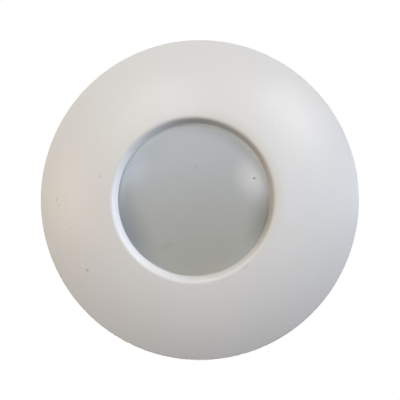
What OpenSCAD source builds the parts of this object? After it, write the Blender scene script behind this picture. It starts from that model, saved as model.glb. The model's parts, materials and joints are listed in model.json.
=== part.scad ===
// Recessed soffit downlight. A domed bezel holds a frosted front glass and screws up into
// a finned, die-cast can. The can holds a twist-lock reflector lamp and its wiring, and two
// sprung arms at its sides clamp it in a round hole in the soffit board.
// Z = 0 is the underside of the board: +Z goes up into the roof void, and the light shines
// down along -Z. The arms stand on the X axis. All sizes are in millimetres.

/* [Bezel] */
// Outside diameter of the bezel
bezel_d = 110; // [106:1:124]
// How far the bezel's lip hangs below the soffit
bezel_drop = 11.5; // [10.5:0.5:14.5]
// Diameter of the glass that shows through the bezel
aperture_d = 51; // [46:0.1:53]
// Thickness of the cast dome
bezel_wall = 2; // [1.6:0.1:2.4]
// Radius of the rounded lip round the aperture
lip_r = 2; // [1.4:0.1:2.2]
// How far the middle of the lip lies outside the aperture
lip_reach = 2.9; // [2.2:0.05:3.2]
// Angle between the aperture's side and the axis
lip_draft = 35; // [30:1:42]
// Slope of the dome where it leaves the lip
lip_slope = 8; // [5:1:12]
// Radius of the dome's outer edge
edge_r = 1; // [0.6:0.1:1.2]
// Height of the upright band above the rounded edge
edge_band = 0.4; // [0.2:0.1:0.8]
// Gap between the back of the bezel's edge and the soffit
shadow_gap = 0.4; // [0.2:0.1:0.8]
// Thickness of the ledge that the glass seal sits on
ledge_t = 0.5; // [0.4:0.1:0.8]
// Number of stiffening ribs behind the dome
bezel_ribs = 12; // [6:1:16]
// Thickness of one stiffening rib
bezel_rib_t = 1.6; // [1.2:0.1:2]

/* [Front glass] */
// Diameter of the glass disc
glass_d = 60; // [57:0.5:61]
// Thickness of the glass disc
glass_t = 4; // [3:0.5:5]
// Thickness of the seal in front of the glass and behind it
seal_t = 0.5; // [0.4:0.1:0.8]
// Thickness of the seal round the edge of the glass
seal_side = 0.8; // [0.6:0.1:1]
// How far the seal's lip shows inside the aperture
seal_bead = 0.25; // [0.1:0.05:0.4]
// Thickness of the spring ring that holds the glass in
ring_t = 1.2; // [1:0.1:1.5]
// Depth of the ring's groove in the collar
ring_groove = 0.9; // [0.7:0.1:1]

/* [Screw joint between bezel and can] */
// Wall of the collar that screws into the can
collar_wall = 2; // [1.8:0.1:2.4]
// Height of the collar's end above the soffit line
collar_top = 3; // [2:0.5:4]
// Radial clearance between the two screwed walls
thread_gap = 0.3; // [0.2:0.05:0.4]
// Section of the O-ring between bezel and can
o_ring_d = 2.2; // [1.8:0.1:2.4]
// How far the O-ring is squashed when the bezel is home
o_ring_squash = 0.1; // [0.05:0.05:0.3]

/* [Can] */
// Diameter of the spigot that fits the hole in the board
spigot_d = 74; // [74:0.5:80]
// Height of the spigot above the soffit line
spigot_h = 8.5; // [8:0.5:14]
// How far the clamping flange's edge stays inside the back of the dome that covers it
flange_inset = 1.6; // [1.5:0.1:3.5]
// Thickness of the clamping flange
flange_t = 1.6; // [1.4:0.1:2]
// Thickness of the soft gasket between flange and board
gasket_t = 1.6; // [1.4:0.1:2]
// Thickness of the can's wall
can_wall = 2; // [1.6:0.1:2.2]
// Room between the lamp's rim and the can's wall
lamp_room = 3.4; // [2.6:0.1:3.6]
// Number of places for cooling fins round the can
fin_places = 24; // [20:2:28]
// Thickness of one cooling fin
fin_t = 1.4; // [1:0.1:1.8]
// How far the fins stand out of the can
fin_reach = 3.8; // [3:0.1:6]

/* [Rear cover] */
// Thickness of the cover's edge
cover_t = 2.2; // [2:0.1:3]
// How far the cover's middle stands above its edge
cover_rise = 2; // [1:0.5:4]
// Thickness of the cover's gasket
cover_gasket_t = 1.2; // [1:0.1:1.6]
// Thickness of the can's top flange
top_flange_t = 2.5; // [2:0.1:3]
// Diameter of a cover screw's thread
cover_screw_d = 3; // [2.5:0.5:3]
// Number of stiffening ribs on the cover
cover_ribs = 8; // [4:4:16]
// Thickness of one of the cover's ribs
cover_rib_t = 1.6; // [1.2:0.1:2]

/* [Sprung arms] */
// Height of the pivot above the spigot's end
pivot_rise = 4.5; // [4:0.5:7]
// Diameter of the pivot pin
pin_d = 2; // [1.8:0.1:2.2]
// Length of the arm, from its pivot to its tip
arm_l = 18; // [16:0.5:24]
// Width of the arm at its tip
arm_tip_w = 9; // [7:0.5:10]
// Thickness of the arm's steel
arm_t = 1; // [0.8:0.1:1]
// How far the relaxed arm droops below level, in degrees
arm_droop = 22; // [14:1:28]
// Outside diameter of the soft sleeve on the arm's tip
sleeve_d = 3.6; // [3.2:0.1:3.6]
// Diameter of the spring wire
wire_d = 1.2; // [0.9:0.1:1.3]
// Whole turns in each spring
spring_turns = 5; // [3:1:6]
// Distance between neighbouring turns
spring_pitch = 1.7; // [1.65:0.05:2]
// Length of the spring's leg on the arm
spring_leg = 10; // [7:0.5:12]

/* [Lamp and holder] */
// Diameter of the reflector lamp
lamp_d = 50; // [46:0.5:51]
// Length of the lamp's reflector, with its neck
lamp_bowl_h = 29.8; // [28:0.1:36]
// Length of the lamp's base beyond the reflector
lamp_base_h = 15; // [12:0.5:18]
// Gap between the front glass and the lamp
lamp_standoff = 7; // [7:0.2:9]
// Distance between the lamp's two pins
lamp_pin_pitch = 10; // [10:0.5:11]
// How far the lamp turns to lock, in degrees
lamp_twist = 25; // [20:1:30]
// Diameter of the lamp holder
holder_d = 27; // [26:0.5:29]
// Height of the lamp holder
holder_h = 13.7; // [13:0.1:16]

/* [Wiring] */
// Thickness of the bracket that carries holder and terminals
bracket_t = 1.2; // [1:0.1:2]
// Length of the terminal block
block_l = 29; // [28:0.5:33]
// Width of the terminal block
block_w = 15; // [14:0.5:18]
// Height of the terminal block
block_h = 12; // [12:0.5:15]
// Distance between the terminals
pole_pitch = 10; // [9.5:0.1:10]
// Diameter of an insulated lead
lead_d = 2.2; // [1.8:0.1:2.4]
// Free height above the terminals for the supply wires
wiring_room = 12; // [10:1:24]

/* [Cable gland] */
// Largest cable that the gland takes
cable_d = 8; // [5:0.5:9]
// Diameter of the gland's thread in the cover
gland_thread_d = 15.8; // [15:0.1:18]
// Least wall of the gland's nut, at the flats of its hexagon
gland_wall = 1.8; // [1.6:0.1:3]
// Height of the gland's fixed hexagon
gland_hex_h = 5; // [4:0.5:7]
// Rubber seal's height in the gland
gland_seal_h = 7.5; // [7:0.5:9]

/* [Hidden] */
$fn = 96;

slip = 0.1;        // clearance between pieces that are pushed together
loose = 0.3;       // clearance round a hole that a screw passes through
over = 1;          // how far a cutter runs past what it cuts
fuse = 0.5;        // how far the forms of one casting reach into each other
edge_cut = 0.6;    // chamfer of a cast or turned edge
arc_steps = 14;    // straight steps in each large arc of a profile
small_steps = 7;   // straight steps in each small arc of a profile

// Bezel levels and radii
bezel_r = bezel_d / 2;
aperture_r = aperture_d / 2;
lip_mid = [aperture_r + lip_reach, lip_r - bezel_drop];
wall_start = lip_mid - lip_r * [cos(lip_draft), sin(lip_draft)];
ledge_z = wall_start[1] + (wall_start[0] - aperture_r) / tan(lip_draft);
seat_z = ledge_z + ledge_t;
edge_mid = [bezel_r - edge_r, -shadow_gap - edge_band];
// The dome is one arc, tangent to the lip and to the rounded edge. It is worked out on the
// arc that runs edge_r inside it, from beside the lip to the middle of the edge.
inset_start = lip_mid + (lip_r - edge_r) * [sin(lip_slope), -cos(lip_slope)];
chord = edge_mid - inset_start;
edge_slope = 2 * atan2(chord[1], chord[0]) - lip_slope;
inset_r = norm(chord) / 2 / sin((edge_slope - lip_slope) / 2);
dome_r = inset_r + edge_r;
dome_mid = inset_start + inset_r * [-sin(lip_slope), cos(lip_slope)];
back_r = dome_r - bezel_wall;

// Radius at which the dome's inner face reaches the height z
function back_radius(z) = dome_mid[0] + sqrt(pow(back_r, 2) - pow(dome_mid[1] - z, 2));

// Glass pocket
glass_r = glass_d / 2;
glass_z = seat_z + seal_t;
glass_back = glass_z + glass_t;
ring_z = glass_back + seal_t;
pocket_r = glass_r + seal_side + 2 * slip;
groove_r = pocket_r + ring_groove;
collar_r = pocket_r + collar_wall;
seal_lip_back = glass_r - 2;
glass_bevel = 0.4;

// Can
spigot_r = spigot_d / 2;
spigot_lead = 1;      // chamfer that leads the spigot into its hole
flange_z = -gasket_t - flange_t;
flange_r = back_radius(flange_z) - flange_inset;
mouth_r = collar_r + thread_gap;
gasket_r = spigot_r + spigot_lead;
o_ring_h = o_ring_d - o_ring_squash;
o_ring_mid = collar_r + thread_gap + o_ring_d / 2;
o_ring_floor = flange_z - o_ring_h - slip;
o_ring_fence = o_ring_mid + o_ring_d / 2 + 0.4;
fence_wall = 1.2;
fence_top = o_ring_floor + 1;
rib_gap = 0.5;        // how far the dome's ribs stay under the clamping flange
lamp_r = lamp_d / 2;
can_in = lamp_r + lamp_room;
can_out = can_in + can_wall;
shoulder_t = 2;
root_r = 1;           // fillet where the can leaves its shoulder
flange_root = 1.5;    // gusset under the top flange
fin_r = can_out + fin_reach;
fin_start = 2.5;      // height of a fin's foot above the spigot
fin_toe = 0.5;        // how far the foot stands out of the can
fin_slope = 6;        // height over which the fin grows to its full reach
half_gap = 20;        // half the angle without fins, round each arm
top_r = fin_r + 0.2;

// Lamp and holder levels
lamp_z = glass_back + lamp_standoff;
lamp_rim_h = 4.5;
lamp_neck_r = 12;
lamp_neck_h = 5;
lamp_wall = 1.2;
lens_z = lamp_z + 0.6;
lens_t = 1.6;
capsule_r = 4.6;
capsule_rise = 16;    // from the lamp's rim to the middle of the capsule's round end
capsule_h = 7;
stem = [7.2, 3];
stem_depth = 4;
base_cup = 4;         // how far the base's skirt covers the neck
base_skirt = 3;
base_flare = 2;
base_flat_w = 17;
lamp_neck_z = lamp_z + lamp_bowl_h;
lamp_end = lamp_neck_z + lamp_base_h;
holder_z = lamp_end + 0.3;
slot_plate = 3;
cavity_z = holder_z + slot_plate;
cavity_h = 4.9;
cavity_play = 0.4;
pin_head_z = cavity_z + cavity_play;
pin_head_h = 3;
pin_neck_r = 1.6;
pin_head_r = 2.5;
pin_edge = 0.5;
pin_play = 0.3;
holder_top = holder_z + holder_h;
bracket_top = holder_top + bracket_t;
block_top = bracket_top + block_h;
can_top = block_top + wiring_room;
cover_z = can_top + cover_gasket_t;
cover_top = cover_z + cover_t + cover_rise;

// Cover and its screws
cover_screw_r = cover_screw_d / 2;
cover_screw_l = 9;
cover_socket = 10;
cover_head = [1.85 * cover_screw_r, 1.8];
cover_screws_at = (can_in + top_r) / 2;
cover_bosses = [45, 135, 225, 315];
cover_boss_r = 2.6;
cover_boss_h = 12;
cover_rim = 4;        // width of the flat round the gland
cover_slope = 1.5;    // width of the dome's steepest part
cover_rib_end = 3;    // length of the slope at a rib's outer end

// Arms
pivot_z = spigot_h + pivot_rise;
pin_r = pin_d / 2;
coil_r = 2 * wire_d;
pivot_x = can_out + coil_r + wire_d / 2 + loose;
bearing_play = 0.05;
arm_swing = 90 + arm_droop;
coil_w = (spring_turns + arm_swing / 360) * spring_pitch;
tab_in = coil_w / 2 + wire_d / 2 + loose;
tab_out = tab_in + arm_t;
ear_in = tab_out + loose;
ear_t = 1.8;
ear_out = ear_in + ear_t;
ear_r = 2;
pivot_head_h = 0.8;
pivot_head_r = pin_r + 0.7;
tab_r = 2.2;
tab_neck = 1.6;
tab_reach = 6;        // how far a tab runs along under the arm's steel
web_top = coil_r - wire_d / 2 - slip;
web_start = coil_r + wire_d + 0.4;
arm_taper = 3;        // length over which the arm narrows
roll_r = arm_t / 2 + 0.4;
leg_socket = 1.5;
leg_play = 0.15;

// Gland levels
gland_washer_t = 1;
gland_washer_rim = 1.2;
gland_hex_z = cover_top + gland_washer_t;
gland_spigot_z = gland_hex_z + gland_hex_h;
gland_spigot_h = 6.6;
gland_spigot_top = gland_spigot_z + gland_spigot_h;
gland_seal_z = gland_spigot_z + 0.6;
gland_seal_top = gland_seal_z + gland_seal_h;
gland_seal_taper = [0.7, 1.2];
gland_ring_t = 1.2;
gland_ring_top = gland_seal_top + gland_ring_t;
gland_thread_r = gland_thread_d / 2;
gland_spigot_r = gland_thread_r + 0.1;
cable_r = cable_d / 2;
gland_socket_r = gland_spigot_r - 1.6;
gland_hex = 2 * (gland_spigot_r + thread_gap + gland_wall);
cover_boss = gland_hex / 2 + cover_rim;    // radius of the cover's flat middle, round the gland
gland_way_r = cable_r + 0.8;
nut_z = gland_spigot_z + 0.8;
nut_shelf = gland_ring_top + 0.2;
nut_lip = 2.2;        // thickness of the nut's end over the clamp ring
nut_way_r = cable_r + 1;
nut_round_r = 5;
locknut_t = 4;
locknut_play = 0.2;
gland_bottom = cover_z - locknut_t - 0.5;

// Wiring
block_y = 6;
block_front = block_y - block_w / 2;
block_step = 2.5;
bracket_w = block_l + 2 * (bracket_t + loose);
bore_z = bracket_top + 6.3;
insert_r = 2.6;
insert_bore = 1.5;
insert_recess = 0.3;
pole_x = [-pole_pitch, 0, pole_pitch];
terminal_screw_y = [block_y - 4.5, block_y + 4.5];
terminal_screw_r = 1.3;
terminal_head = [1.8, 1.8];
terminal_well_r = 2;
pole_w = 7.2;
window = [14, 5.5];
window_y = -9.25;
holder_exit = [4.5, -9];
lead_end = 1.4;       // how far a lead's end goes into its terminal
boss_r = 3.2;
boss_h = 12;
bracket_screw_r = 1.5;
bracket_screw_l = 7;
bracket_socket = 8;
bracket_head = [2.6, 1.8];
bracket_screw_y = can_in - boss_r;
hem_h = 5;
hem_l = 34;
holder_screw_r = 1.3;
holder_screw_l = 5.4;
holder_socket = 5;
holder_head = [2.4, 1.6];
holder_screw = [10.3, -4.6];
holder_foot = 1.2;    // height of the narrower end of the holder
holder_exit_z = 1.4;  // floor under the leads' passages
strip_t = 0.5;
strip_w = 3.2;
dimple_r = 0.6;
block_screw_r = 1.2;
block_screw_x = 5;
block_head = [2.1, 1.4];
block_well = [2.4, 2];
block_screw_z = block_top - block_step - block_well[1];
earth_screw_r = 1.7;
earth_screw_l = 5;
earth_head = [3, 2];
earth_collar_h = 1.6;
earth_collar_t = 1.2;
earth_y = -17.4;
eye_r = 3.4;
eye_t = 0.8;
barrel_r = lead_d / 2 + 0.5;
barrel_l = 4;
barrel_z = bracket_top + barrel_r + 0.05;
barrel_y = earth_y + eye_r - 0.3;
tongue_w = 2.8;
screw_slot = 0.7;

// Points on an arc about mid, from angle a to angle b
function arc(mid, r, a, b, steps) =
    [for (i = [0:steps]) let (t = a + (b - a) * i / steps) mid + r * [cos(t), sin(t)]];
// Height of the dome's inner face at radius x
function back_height(x) = dome_mid[1] - sqrt(pow(back_r, 2) - pow(x - dome_mid[0], 2));
function unit(v) = v / norm(v);
function along(path, i) = unit(path[min(i + 1, len(path) - 1)] - path[max(i - 1, 0)]);

// A round bar that follows the points of path. side is a direction that the path never takes.
module tube(path, r, sides, side) {
    rings = [for (i = [0:len(path) - 1])
        let (t = along(path, i), u = unit(side - (side * t) * t), v = cross(t, u))
        for (k = [0:sides - 1])
            path[i] + r * cos(360 * k / sides) * u + r * sin(360 * k / sides) * v];
    last = (len(path) - 1) * sides;
    walls = [for (i = [0:len(path) - 2]) for (k = [0:sides - 1])
        let (a = i * sides + k, b = i * sides + (k + 1) % sides)
        each [[a, a + sides, b + sides], [a, b + sides, b]]];
    ends = [for (k = [1:sides - 2]) each [[0, k, k + 1], [last, last + k + 1, last + k]]];
    polyhedron(points = rings, faces = concat(walls, ends));
}

module at_each(angles, r) {
    for (a = angles) rotate([0, 0, a]) translate([r, 0, 0]) children();
}

// A ring with square corners
module ring(inner, outer, low, high) {
    translate([0, 0, low]) difference() {
        cylinder(r = outer, h = high - low);
        translate([0, 0, -over]) cylinder(r = inner, h = high - low + 2 * over);
    }
}

// A hexagonal prism, across_flats wide
module hexagon(across_flats, h) {
    cylinder(d = across_flats / cos(30), h = h, $fn = 6);
}

// A screw that stands on z = 0 and points down, with a slotted pan head
// of the radius head[0] and the height head[1]
module screw(r, length, head) {
    side_h = 0.6 * head[1];
    translate([0, 0, -length]) cylinder(r = r, h = length + slip);
    difference() {
        union() {
            cylinder(r = head[0], h = side_h);
            translate([0, 0, side_h]) cylinder(r1 = head[0], r2 = 0.75 * head[0], h = head[1] - side_h);
        }
        translate([-head[0], -screw_slot / 2, head[1] / 2]) cube([2 * head[0], screw_slot, head[1]]);
    }
}

// ---- Bezel ----

module bezel_section() {
    back_end = acos((dome_mid[1] + shadow_gap) / back_r);
    back_start = asin((o_ring_fence + fence_wall - dome_mid[0]) / back_r);
    polygon(concat(
        [[aperture_r, ledge_z]],
        arc(lip_mid, lip_r, 180 + lip_draft, 270 + lip_slope, small_steps),
        arc(dome_mid, dome_r, 270 + lip_slope, 270 + edge_slope, arc_steps),
        arc(edge_mid, edge_r, 270 + edge_slope, 360, small_steps),
        [[bezel_r, -shadow_gap]],
        arc(dome_mid, back_r, 270 + back_end, 270 + back_start, arc_steps),
        [
            [o_ring_fence + fence_wall, fence_top], [o_ring_fence, fence_top],
            [o_ring_fence, o_ring_floor], [collar_r, o_ring_floor],
            [collar_r, collar_top - edge_cut], [collar_r - edge_cut, collar_top], [pocket_r, collar_top],
            [pocket_r, ring_z + ring_t + slip], [groove_r, ring_z + ring_t + slip],
            [groove_r, ring_z - slip], [pocket_r, ring_z - slip],
            [pocket_r, seat_z], [aperture_r, seat_z]
        ]
    ));
}

// One rib of the dome, from the O-ring's fence out to where the dome's back comes near the flange
module bezel_rib() {
    start = o_ring_fence + fence_wall / 2;
    finish = back_radius(flange_z - rib_gap);
    rotate([90, 0, 0]) linear_extrude(height = bezel_rib_t, center = true) polygon(concat(
        [[start, fence_top], [finish, back_height(finish)]],
        [for (i = [arc_steps:-1:0])
            let (x = start + (finish - start) * i / arc_steps) [x, back_height(x) - bezel_wall / 2]]
    ));
}

module bezel() {
    color([0.93, 0.93, 0.91]) {
        rotate_extrude() bezel_section();
        for (i = [0:bezel_ribs - 1]) rotate([0, 0, (i + 0.5) * 360 / bezel_ribs]) bezel_rib();
    }
}

// A channel of soft silicone that wraps the edge of the glass
module glass_seal() {
    color([0.86, 0.87, 0.86]) rotate_extrude() polygon([
        [aperture_r, seat_z], [pocket_r - slip, seat_z], [pocket_r - slip, ring_z],
        [seal_lip_back, ring_z], [seal_lip_back, glass_back], [glass_r + slip, glass_back],
        [glass_r + slip, glass_z], [aperture_r - seal_bead, glass_z]
    ]);
}

module front_glass() {
    color([0.8, 0.85, 0.84, 0.6]) rotate_extrude() polygon([
        [0, glass_z], [glass_r - glass_bevel, glass_z], [glass_r, glass_z + glass_bevel],
        [glass_r, glass_back - glass_bevel], [glass_r - glass_bevel, glass_back], [0, glass_back]
    ]);
}

// An open spring ring with a lug and a plier hole at each end
module glass_retaining_ring() {
    band = 2.75;
    outer = groove_r - 0.15;
    inner = outer - band;
    opening = 14;
    lug_r = 1.9;
    lug_hole_r = 0.8;
    lug_at = inner - 0.3;
    lug_turn = opening / 2 + 4;
    color([0.62, 0.63, 0.65]) translate([0, 0, ring_z]) difference() {
        union() {
            rotate([0, 0, 90 + opening / 2]) rotate_extrude(angle = 360 - opening)
                translate([inner, 0]) square([outer - inner, ring_t]);
            for (s = [-1, 1]) rotate([0, 0, 90 + s * lug_turn])
                translate([lug_at, 0, 0]) cylinder(r = lug_r, h = ring_t);
        }
        for (s = [-1, 1]) rotate([0, 0, 90 + s * lug_turn])
            translate([lug_at, 0, -over]) cylinder(r = lug_hole_r, h = ring_t + 2 * over);
    }
}

module bezel_o_ring() {
    color([0.16, 0.16, 0.17]) rotate_extrude() intersection() {
        translate([o_ring_mid, flange_z - slip / 2 - o_ring_h / 2]) circle(d = o_ring_d, $fn = 48);
        translate([o_ring_mid - o_ring_d, flange_z - slip / 2 - o_ring_h])
            square([2 * o_ring_d, o_ring_h]);
    }
}

// ---- Can ----

module housing_section() {
    polygon([
        [mouth_r, flange_z], [flange_r - edge_cut, flange_z], [flange_r, flange_z + edge_cut],
        [flange_r, -gasket_t], [spigot_r, -gasket_t],
        [spigot_r, spigot_h - spigot_lead], [spigot_r - spigot_lead, spigot_h],
        [can_out + root_r, spigot_h], [can_out, spigot_h + root_r],
        [can_out, can_top - top_flange_t - flange_root], [can_out + flange_root, can_top - top_flange_t],
        [top_r, can_top - top_flange_t], [top_r, can_top],
        [can_in, can_top], [can_in, spigot_h - shoulder_t], [mouth_r, spigot_h - shoulder_t]
    ]);
}

// A cooling fin, which leaves the shoulder in a slope and runs up into the top flange
module fin() {
    low = spigot_h + fin_start;
    high = can_top - top_flange_t + fuse;
    rotate([90, 0, 0]) linear_extrude(height = fin_t, center = true) polygon([
        [can_out - fuse, low], [can_out + fin_toe, low], [fin_r - edge_cut, low + fin_slope],
        [fin_r, low + fin_slope + 2 * edge_cut], [fin_r, high], [can_out - fuse, high]
    ]);
}

// The two cast ears that carry one pivot pin
module ears() {
    root = can_out - 2 * fuse;
    for (s = [-1, 1]) translate([0, s * (ear_in + ear_t / 2), 0])
        rotate([90, 0, 0]) linear_extrude(height = ear_t, center = true) {
            translate([root, spigot_h - fuse]) square([pivot_x + ear_r - root, pivot_rise + fuse]);
            translate([root, spigot_h - fuse]) square([pivot_x - root, pivot_rise + ear_r + fuse]);
            translate([pivot_x, pivot_z]) circle(r = ear_r);
        }
}

module housing() {
    step = 360 / fin_places;
    fins = [for (i = [0:fin_places - 1]) let (a = (i + 0.5) * step)
        if (abs(sin(a)) > sin(half_gap)) a];
    color([0.7, 0.71, 0.72]) difference() {
        union() {
            rotate_extrude() housing_section();
            for (a = fins) rotate([0, 0, a]) fin();
            for (a = [0, 180]) rotate([0, 0, a]) ears();
            at_each(cover_bosses, cover_screws_at)
                translate([0, 0, can_top - top_flange_t - cover_boss_h])
                    cylinder(r = cover_boss_r, h = cover_boss_h + fuse);
            // bosses inside, which carry the bracket
            intersection() {
                at_each([90, 270], bracket_screw_y) translate([0, 0, holder_top - boss_h]) {
                    cylinder(r = boss_r, h = boss_h);
                    translate([0, -boss_r, 0]) cube([can_out - bracket_screw_y, 2 * boss_r, boss_h]);
                }
                cylinder(r = can_out - fuse, h = can_top);
            }
        }
        // sockets for the cover screws and for the bracket screws
        at_each(cover_bosses, cover_screws_at) translate([0, 0, can_top - cover_socket])
            cylinder(r = cover_screw_r + slip / 2, h = cover_socket + over);
        at_each([90, 270], bracket_screw_y) translate([0, 0, holder_top - bracket_socket])
            cylinder(r = bracket_screw_r + slip / 2, h = bracket_socket + over);
        // bores for the pivot pins, and a socket for the fixed leg of each spring
        for (a = [0, 180]) rotate([0, 0, a]) {
            translate([pivot_x, 0, pivot_z]) rotate([90, 0, 0])
                cylinder(r = pin_r + bearing_play, h = 2 * (ear_out + over), center = true);
            translate([pivot_x - coil_r, -coil_w / 2, spigot_h - leg_socket])
                cylinder(r = wire_d / 2 + leg_play, h = leg_socket + over);
        }
        // the can's bore, cleared of what the bosses outside it would leave inside
        translate([0, 0, can_top - top_flange_t - cover_boss_h - over])
            cylinder(r = can_in, h = cover_boss_h + top_flange_t + 2 * over);
    }
}

module soffit_gasket() {
    color([0.2, 0.2, 0.21]) ring(gasket_r, flange_r, -gasket_t, 0);
}

module cover_screw_holes(low, high) {
    at_each(cover_bosses, cover_screws_at) translate([0, 0, low - over])
        cylinder(r = cover_screw_r + loose, h = high - low + 2 * over);
}

module cover_gasket() {
    color([0.2, 0.2, 0.21]) difference() {
        ring(can_in, top_r - 2 * slip, can_top, cover_z);
        cover_screw_holes(can_top, cover_z);
    }
}

// A rib of the cover, level from its middle boss until it slopes down to the flat edge
module cover_rib() {
    finish = can_in - edge_cut;
    high = cover_top - edge_cut;
    rotate([90, 0, 0]) linear_extrude(height = cover_rib_t, center = true) polygon([
        [cover_boss, cover_z + fuse], [finish, cover_z + fuse], [finish, cover_z + cover_t],
        [finish - cover_rib_end, high], [cover_boss, high]
    ]);
}

module rear_cover() {
    hole = gland_thread_r + locknut_play;
    color([0.7, 0.71, 0.72]) difference() {
        union() {
            rotate_extrude() polygon([
                [hole, cover_z], [top_r, cover_z], [top_r, cover_z + cover_t - edge_cut],
                [top_r - edge_cut, cover_z + cover_t], [can_in - edge_cut, cover_z + cover_t],
                [cover_boss + cover_slope, cover_top - edge_cut], [cover_boss, cover_top],
                [hole, cover_top]
            ]);
            for (i = [0:cover_ribs - 1]) rotate([0, 0, (i + 0.5) * 360 / cover_ribs]) cover_rib();
        }
        cover_screw_holes(cover_z, cover_top);
    }
}

module cover_screws() {
    color([0.75, 0.75, 0.77]) at_each(cover_bosses, cover_screws_at)
        translate([0, 0, cover_z + cover_t]) screw(cover_screw_r, cover_screw_l, cover_head);
}

// ---- Sprung arms ----

module pivot_pin() {
    color([0.72, 0.72, 0.74]) translate([pivot_x, 0, pivot_z]) rotate([90, 0, 0]) {
        cylinder(r = pin_r, h = 2 * (ear_out + slip), center = true);
        for (s = [-1, 1]) translate([0, 0, s * (ear_out + pivot_head_h / 2)])
            cylinder(r = pivot_head_r, h = pivot_head_h, center = true);
    }
}

// The spring wire: up out of its socket, round the pin, and out along the top of the arm
function spring_path() =
    let (steps = 8, sweep = 360 * spring_turns + arm_swing, n = ceil(sweep / 360 * steps), out = 180 - sweep)
    concat(
        [[-coil_r, -coil_w / 2, slip - pivot_rise - leg_socket], [-coil_r, -coil_w / 2, -wire_d]],
        [for (i = [0:n]) let (a = 180 - sweep * i / n)
            [coil_r * cos(a), coil_w * (i / n - 0.5), coil_r * sin(a)]],
        [for (d = [wire_d, spring_leg])
            [coil_r * cos(out) + d * sin(out), coil_w / 2, coil_r * sin(out) - d * cos(out)]]
    );
wire_points = spring_path();
wire_gap = min([for (i = [0:len(wire_points) - 1]) for (j = [i + 5:1:len(wire_points) - 1])
    norm(wire_points[i] - wire_points[j])]) - wire_d;
echo(str("least gap between turns of a clip spring, mm: ", wire_gap));

module clip_spring() {
    color([0.66, 0.66, 0.68]) translate([pivot_x, 0, pivot_z])
        tube(wire_points, wire_d / 2, 6, [0, 1, 0]);
}

module in_arm_frame() {
    translate([pivot_x, 0, pivot_z]) rotate([0, arm_droop, 0]) children();
}

// One side tab of the arm, drawn in the plane of the arm's length and its thickness
module arm_tab() {
    reach = web_start + tab_reach;
    difference() {
        union() {
            circle(r = tab_r);
            polygon([
                [0, -tab_r], [web_start, -tab_neck], [reach, web_top - arm_t], [reach, web_top], [0, web_top]
            ]);
        }
        circle(r = pin_r + slip);
    }
}

module clip_arm() {
    taper = web_start + arm_taper;
    color([0.72, 0.73, 0.75]) in_arm_frame() {
        for (s = [-1, 1]) translate([0, s * (tab_in + tab_out) / 2, 0])
            rotate([90, 0, 0]) linear_extrude(height = tab_out - tab_in, center = true) arm_tab();
        translate([0, 0, web_top - arm_t]) linear_extrude(height = arm_t) polygon([
            [web_start, -tab_out], [taper, -tab_out], [arm_l, -arm_tip_w / 2],
            [arm_l, arm_tip_w / 2], [taper, tab_out], [web_start, tab_out]
        ]);
        // the rolled tip, which the sleeve is pushed over
        translate([arm_l, 0, web_top - arm_t / 2]) rotate([90, 0, 0])
            cylinder(r = roll_r, h = arm_tip_w, center = true);
    }
}

// A soft sleeve with a slot for the arm's steel
module arm_sleeve() {
    color([0.9, 0.9, 0.88]) in_arm_frame()
        translate([arm_l, 0, web_top - arm_t / 2]) difference() {
            rotate([90, 0, 0]) cylinder(d = sleeve_d, h = arm_tip_w + 2 * fuse, center = true);
            rotate([90, 0, 0]) cylinder(r = roll_r + slip / 2, h = arm_tip_w + 2 * over, center = true);
            translate([-sleeve_d, -arm_tip_w, -(arm_t + slip) / 2])
                cube([sleeve_d, 2 * arm_tip_w, arm_t + slip]);
        }
}

// ---- Lamp ----

// The mirror's outside: it narrows from the lamp's rim to its neck in a deep bowl
function bowl_point(t) =
    let (low = lamp_z + lamp_rim_h, high = lamp_neck_z - lamp_neck_h)
    [lamp_neck_r + (lamp_r - lamp_neck_r) * pow(cos(90 * t), 0.9),
     low + (high - low) * pow(sin(90 * t), 1.15)];

module lamp_reflector() {
    outside = [for (i = [0:arc_steps]) bowl_point(i / arc_steps)];
    inside = [for (i = [arc_steps:-1:0]) let (a = 90 * i / arc_steps)
        outside[i] - lamp_wall * [cos(a), sin(a)]];
    neck_in = lamp_neck_r - lamp_wall;
    seat = lamp_r - lamp_wall;
    ledge = 0.9;
    color([0.85, 0.86, 0.87]) rotate_extrude() polygon(concat(
        [[lamp_r, lamp_z + slip]], outside,
        [[lamp_neck_r, lamp_neck_z], [neck_in, lamp_neck_z], [neck_in, inside[0][1]]], inside,
        [[seat - ledge, lens_z + lens_t], [seat, lens_z + lens_t], [seat, lamp_z], [lamp_r - slip, lamp_z]]
    ));
}

module lamp_front_lens() {
    color([0.88, 0.9, 0.9, 0.5]) translate([0, 0, lens_z])
        cylinder(r = lamp_r - lamp_wall - slip, h = lens_t);
}

module lamp_capsule() {
    tip = lamp_z + capsule_rise;
    stem_z = tip + capsule_h - fuse;
    color([0.9, 0.91, 0.92, 0.5]) {
        translate([0, 0, tip]) sphere(r = capsule_r);
        translate([0, 0, tip]) cylinder(r = capsule_r, h = capsule_h);
        translate([-stem[0] / 2, -stem[1] / 2, stem_z])
            cube([stem[0], stem[1], lamp_neck_z + stem_depth - stem_z]);
    }
}

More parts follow.
